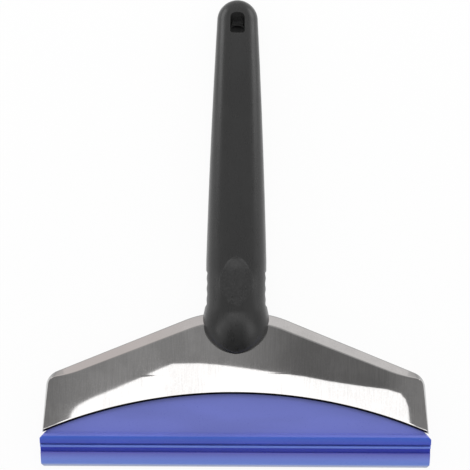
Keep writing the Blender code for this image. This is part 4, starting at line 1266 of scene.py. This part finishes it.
class SCRAPER_OT_blade(bpy.types.Operator):
    """Builds the blade: its bar with one section all along, its arched plate, and the two tabs"""

    bl_idname = "scraper.blade"
    bl_label = "Blade"

    def execute(self, context):
        finish = context.scene.scraper_finish
        plastic = blade_plastic(finish)
        half = bar_profile()
        outline = [*((y, MID_Z + z) for y, z in half), *((y, MID_Z - z) for y, z in reversed(half))]
        drawing = bpy.data.meshes.new("bar_section")
        edges = [(i, (i + 1) % len(outline)) for i in range(len(outline))]
        drawing.from_pydata([(y, z, 0) for y, z in outline], edges, [])
        blade = bpy.data.objects.new("blade_insert_moulding", drawing)
        context.scene.collection.objects.link(blade)
        blade.data = grown_mesh(blade, bar_tree(), {"Length": BLADE_LENGTH, "Finish": plastic})
        bpy.data.meshes.remove(drawing)
        self.lay_across(blade)
        half_width = plate_half_width(ARC_TOP_Y)
        for _ in range(PLATE_FIT_ROUNDS):
            half_width = plate_half_width(arc_height(half_width, PLATE_OVERLAP))
        bar_top = BAR_HEIGHT + BAR_TO_PLATE_RISE
        foot, low_half_width = BLADE_LENGTH / 2 - BAR_END_CHAMFER, plate_half_width(bar_top)
        feet = [(foot, BAR_HEIGHT), (foot, bar_top), (low_half_width, arc_height(low_half_width))]
        plate_points = under_arc(PLATE_OVERLAP, half_width, feet)
        thick = PLATE_THICKNESS / 2
        plate = as_object("plate", prism_shape(plate_points, MID_Z - thick, MID_Z + thick))
        tabs = [self.tab(side * TAB_SPACING / 2) for side in (-1, 1)]
        joined(blade, "UNION", plate, *tabs)
        ends = [as_object("end", prism_shape(bar_end_points(side), -OVERCUT, FAR)) for side in (-1, 1)]
        joined(blade, "DIFFERENCE", *ends)
        rounding = blade.modifiers.new("rounding", "BEVEL")
        rounding.width = BLADE_EDGE_BEVEL
        rounding.segments = BLADE_EDGE_STEPS
        rounding.limit_method = "ANGLE"
        rounding.angle_limit = math.radians(BLADE_EDGE_ANGLE)
        rounding.miter_outer = "MITER_ARC"
        apply_modifiers(blade)
        finish_piece(blade, plastic, BLADE_BODY, ["blade"], edge_angle=50.0, flat_faces=True)
        return {"FINISHED"}

    @staticmethod
    def lay_across(blade):
        """The bar is drawn upright, so its x, y and z become the tool's y, z and x."""
        across = Matrix(((0, 0, 1, 0), (1, 0, 0, 0), (0, 1, 0, 0), (0, 0, 0, 1)))
        with reshaping(blade) as shape:
            bmesh.ops.remove_doubles(shape, verts=shape.verts, dist=SAME_PLACE)
            bmesh.ops.transform(shape, verts=shape.verts, matrix=across)
            bmesh.ops.recalc_face_normals(shape, faces=shape.faces)

    @staticmethod
    def tab(x):
        root = arc_height(x, PLATE_OVERLAP)
        low = (x - TAB_WIDTH / 2, root - TAB_ROOT, MID_Z - TAB_THICKNESS / 2)
        high = (x + TAB_WIDTH / 2, root + TAB_REACH, MID_Z + TAB_THICKNESS / 2)
        return as_object("tab", box_shape(low, high))


class SCRAPER_OT_screws(bpy.types.Operator):
    """Builds one cross-recessed screw, and sets it at its three places in the back of the handle"""

    bl_idname = "scraper.screws"
    bl_label = "Screws"

    def execute(self, context):
        shape = context.scene.scraper_shape
        zinc = plated_zinc()
        screw = self.one_screw(shape)
        places = bpy.data.meshes.new("screw_places")
        seat = SCREW_SEAT_Z - CLEARANCE / 2
        places.from_pydata([(0, y, seat) for y in SCREW_PLACES], [], [])
        screws = bpy.data.objects.new("handle_screws", places)
        context.scene.collection.objects.link(screws)
        values = {"Screw": screw, "Turn": SCREW_TURN, "Seed": SCREW_SEED, "Finish": zinc}
        screws.data = grown_mesh(screws, screw_tree(), values)
        bpy.data.meshes.remove(places)
        bpy.data.objects.remove(screw)
        finish_piece(screws, zinc, HEAD_BODY, SCREW_NODES)
        for name in ("tang_rivet_lower", "tang_rivet_upper"):
            paint_node(name, zinc)
        return {"FINISHED"}

    @staticmethod
    def one_screw(shape):
        """A pan-head screw, head down, turned from its profile, with a cross recess."""
        head, length, core = shape.screw_head / 2, shape.screw_length, SCREW_SHANK - THREAD_DEPTH
        profile = [(0.0, -SCREW_HEAD_HEIGHT)]
        profile += [(head * across, -SCREW_HEAD_HEIGHT * up) for across, up in SCREW_HEAD_CURVE]
        profile += [(head, 0.0), (SCREW_SHANK, 0.0)]
        for i in range(int((length - THREAD_SHORT) / THREAD_PITCH)):
            z = THREAD_LOW + i * THREAD_PITCH
            crest = (SCREW_SHANK, z + THREAD_PITCH * THREAD_RISE)
            profile += [(core, z), crest, (core, z + THREAD_PITCH * THREAD_FALL)]
        profile += [(core, length - SCREW_POINT), (0.0, length)]
        mesh = bpy.data.meshes.new("screw")
        mesh.from_pydata([(r, 0, z) for r, z in profile], [(i, i + 1) for i in range(len(profile) - 1)], [])
        screw = bpy.data.objects.new("screw", mesh)
        bpy.context.scene.collection.objects.link(screw)
        turned = screw.modifiers.new("turned", "SCREW")
        turned.steps = turned.render_steps = SCREW_SIDES
        turned.use_merge_vertices = True
        turned.merge_threshold = SAME_PLACE
        apply_modifiers(screw)
        with reshaping(screw) as solid:
            bmesh.ops.recalc_face_normals(solid, faces=solid.faces)
        crosses = []
        for x, y in ((RECESS_REACH, RECESS_HALF_WIDTH), (RECESS_HALF_WIDTH, RECESS_REACH)):
            low, high = (-x, -y, -SCREW_HEAD_HEIGHT - OVERCUT), (x, y, RECESS_DEPTH - SCREW_HEAD_HEIGHT)
            crosses.append(as_object("cross", box_shape(low, high)))
        return joined(screw, "DIFFERENCE", *crosses)


def paint_node(name, finish):
    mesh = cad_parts[name].data
    mesh.materials.clear()
    mesh.materials.append(finish)


class SCRAPER_OT_inner_parts(bpy.types.Operator):
    """Finishes the pieces that the head and the handle hide"""

    bl_idname = "scraper.inner_parts"
    bl_label = "Core and tang"

    def execute(self, context):
        paint_node("head_core", core_plastic())
        paint_node("tang", rolled_bar())
        return {"FINISHED"}


class SCRAPER_OT_stage(bpy.types.Operator):
    """Sets up the pale floor, the surround, the cards, the lights and the camera over the tool"""

    bl_idname = "scraper.stage"
    bl_label = "Stage"

    def execute(self, context):
        scene, stage = context.scene, context.scene.scraper_stage
        self.lay_floor(stage)
        self.hang_cards(stage)
        self.hang_lights(scene, stage)
        self.light_surround(scene, stage)
        self.set_camera(scene, stage)
        scene.view_settings.view_transform = "Standard"
        return {"FINISHED"}

    @staticmethod
    def lay_floor(stage):
        """Pale paper, which the camera and clear reflections see as nearly plain white."""
        shape = bmesh.new()
        bmesh.ops.create_circle(shape, cap_ends=True, segments=FLOOR_SIDES, radius=FLOOR_REACH)
        bmesh.ops.translate(shape, verts=shape.verts, vec=(0, 0, CAD_LOW.z - FLOOR_DROP))
        floor = as_object("floor", shape)
        recipe = Recipe("floor_paper")
        paper = recipe.node("ShaderNodeBsdfDiffuse", Color=rgb(stage.floor)).outputs[0]
        white = recipe.node("ShaderNodeEmission", Color=WHITE, Strength=1.0).outputs[0]
        rays = recipe.node("ShaderNodeLightPath").outputs
        seen = recipe.math("MAXIMUM", rays["Is Camera Ray"], rays["Is Glossy Ray"])
        seen = recipe.math("MAXIMUM", seen, rays["Is Transmission Ray"])
        share = recipe.product(seen, stage.floor_white)
        mixed = recipe.node("ShaderNodeMixShader", i0=share, i1=paper, i2=white)
        floor.data.materials.append(recipe.shows(mixed))

    def hang_cards(self, stage):
        """The card that the steel reflects, the dark flag beyond the scraping edge, and a card at each side
        of the flag. The flag shows as the dark on the bulb, and the side cards as the bands next to it."""
        shown = [seen_in_face(*photo_to_tool(*pixel), stage) for pixel in CARD_OUTLINE]
        corners = [corner + Vector((0, EDGE_Y, 0)) for corner in shown]
        self.hang_card("card", corners, self.glow("card_white", stage.card_strength), True)
        black = Recipe("flag_black")
        cloth = black.node("ShaderNodeBsdfDiffuse", Color=rgb(FLAG_GREY))
        flag = [*FLAG_HALF, *((-x, y, z) for x, y, z in reversed(FLAG_HALF))]
        self.hang_card("flag", flag, black.shows(cloth), False)
        white = self.glow("side_card_white", stage.side_card_strength)
        for side in (-1, 1):
            corners = [(side * x, y, stage.card_height) for x, y in SIDE_CARD]
            self.hang_card("side_card", corners, white, False)

    @staticmethod
    def glow(name, strength):
        """A plain white light of its own."""
        recipe = Recipe(name)
        return recipe.shows(recipe.node("ShaderNodeEmission", Color=WHITE, Strength=strength))

    @staticmethod
    def hang_card(name, corners, finish, lights):
        """A flat card that the camera doesn't see. It lights the scene too, or shows in reflections only."""
        shape = bmesh.new()
        shape.faces.new([shape.verts.new(corner) for corner in corners])
        card = as_object(name, shape)
        card.data.materials.append(finish)
        card.visible_camera = False
        card.visible_shadow = False
        card.visible_diffuse = lights

    def hang_lights(self, scene, stage):
        """A soft light low on each side, which the steep sides of the handle show, and a large one over the
        handle's end, which no reflection shows."""
        for side in (-1, 1):
            place = side * SIDE_LIGHT_PLACE[0], *SIDE_LIGHT_PLACE[1:]
            self.hang_light(scene, "side_light", place, SIDE_LIGHT_AIM, SIDE_LIGHT_SIZE, stage.side_power)
        key = self.hang_light(scene, "key_light", KEY_PLACE, (0, 0, 0), KEY_SIZE, stage.key_power)
        key.visible_glossy = False

    @staticmethod
    def hang_light(scene, name, place, aim, size, power):
        """A square soft light that is turned to a point of the world."""
        data = bpy.data.lights.new(name, "AREA")
        data.shape = "RECTANGLE"
        data.size, data.size_y = size, size
        data.energy = power
        lamp = bpy.data.objects.new(name, data)
        lamp.location = place
        lamp.rotation_euler = (Vector(aim) - lamp.location).to_track_quat("-Z", "Y").to_euler()
        scene.collection.objects.link(lamp)
        return lamp

    @staticmethod
    def light_surround(scene, stage):
        """Bright at the horizon and dimmer overhead, like a white studio with a dark ceiling."""
        scene.world = bpy.data.worlds.new("surround")
        scene.world.use_nodes = True
        sky = Tree(scene.world.node_tree)
        sky.tree.nodes.clear()
        x, y, z = sky.split(sky.node("ShaderNodeTexCoord").outputs["Generated"])
        around = sky.total(
            sky.ramp(z, 0.0, SKY_MIDDLE_Z, stage.sky_low, stage.sky_middle, "LINEAR"),
            sky.ramp(y, *SKY_FAR_Y, 0.0, SKY_FAR),
            sky.ramp(y, *SKY_HORIZON_Y, 0.0, SKY_HORIZON),
        )
        overhead = sky.total(
            sky.ramp(x, *SKY_SIDE_X, stage.sky_left, stage.sky_high),
            sky.ramp(x, *SKY_RIGHT_X, 0.0, SKY_RIGHT),
            sky.ramp(x, *SKY_LEFT_X, 0.0, SKY_LEFT),
            sky.ramp(y, *SKY_BEHIND_Y, 0.0, stage.sky_behind),
        )
        level = sky.node("ShaderNodeMix", i0=sky.ramp(z, *SKY_TOP_Z), i2=around, i3=overhead).outputs[0]
        background = sky.node("ShaderNodeBackground", Strength=level).outputs[0]
        sky.node("ShaderNodeOutputWorld", Surface=background)

    @staticmethod
    def set_camera(scene, stage):
        data = bpy.data.cameras.new("camera")
        data.sensor_width = 36.0
        data.sensor_fit = "HORIZONTAL"
        data.lens = data.sensor_width * stage.camera_distance / (PIXELS * PIXEL)
        data.clip_start, data.clip_end = 0.01, 20.0
        camera = bpy.data.objects.new("camera", data)
        camera.location = camera_point(stage) + Vector((0, EDGE_Y, 0))
        camera.rotation_euler = (0, 0, math.radians(FRAME_TURN))
        scene.collection.objects.link(camera)
        scene.camera = camera


class SCRAPER_PT_pieces(bpy.types.Panel):
    """Lists the sizes, the finishes and the steps that build the scraper"""

    bl_idname = "SCRAPER_PT_pieces"
    bl_label = "Ice scraper"
    bl_space_type = "VIEW_3D"
    bl_region_type = "UI"
    bl_category = "Scraper"

    def draw(self, context):
        for group in ("scraper_shape", "scraper_finish", "scraper_stage"):
            box = self.layout.box()
            settings = getattr(context.scene, group)
            for name in settings.__annotations__:
                box.prop(settings, name)
        for step in STEPS:
            self.layout.operator(step.bl_idname)


STEPS = (
    SCRAPER_OT_handle,
    SCRAPER_OT_head,
    SCRAPER_OT_blade,
    SCRAPER_OT_screws,
    SCRAPER_OT_inner_parts,
    SCRAPER_OT_stage,
)
GROUPS = {"scraper_shape": ScraperShape, "scraper_finish": ScraperFinish, "scraper_stage": ScraperStage}
CLASSES = (*GROUPS.values(), *STEPS, SCRAPER_PT_pieces)


def register():
    for cls in CLASSES:
        bpy.utils.register_class(cls)
    for name, group in GROUPS.items():
        setattr(bpy.types.Scene, name, PointerProperty(type=group))


def unregister():
    for name in GROUPS:
        delattr(bpy.types.Scene, name)
    for cls in reversed(CLASSES):
        bpy.utils.unregister_class(cls)


def main():
    register()
    bpy.ops.scraper.handle()
    bpy.ops.scraper.head()
    bpy.ops.scraper.blade()
    bpy.ops.scraper.screws()
    bpy.ops.scraper.inner_parts()
    bpy.ops.scraper.stage()


if __name__ == "__main__":
    main()
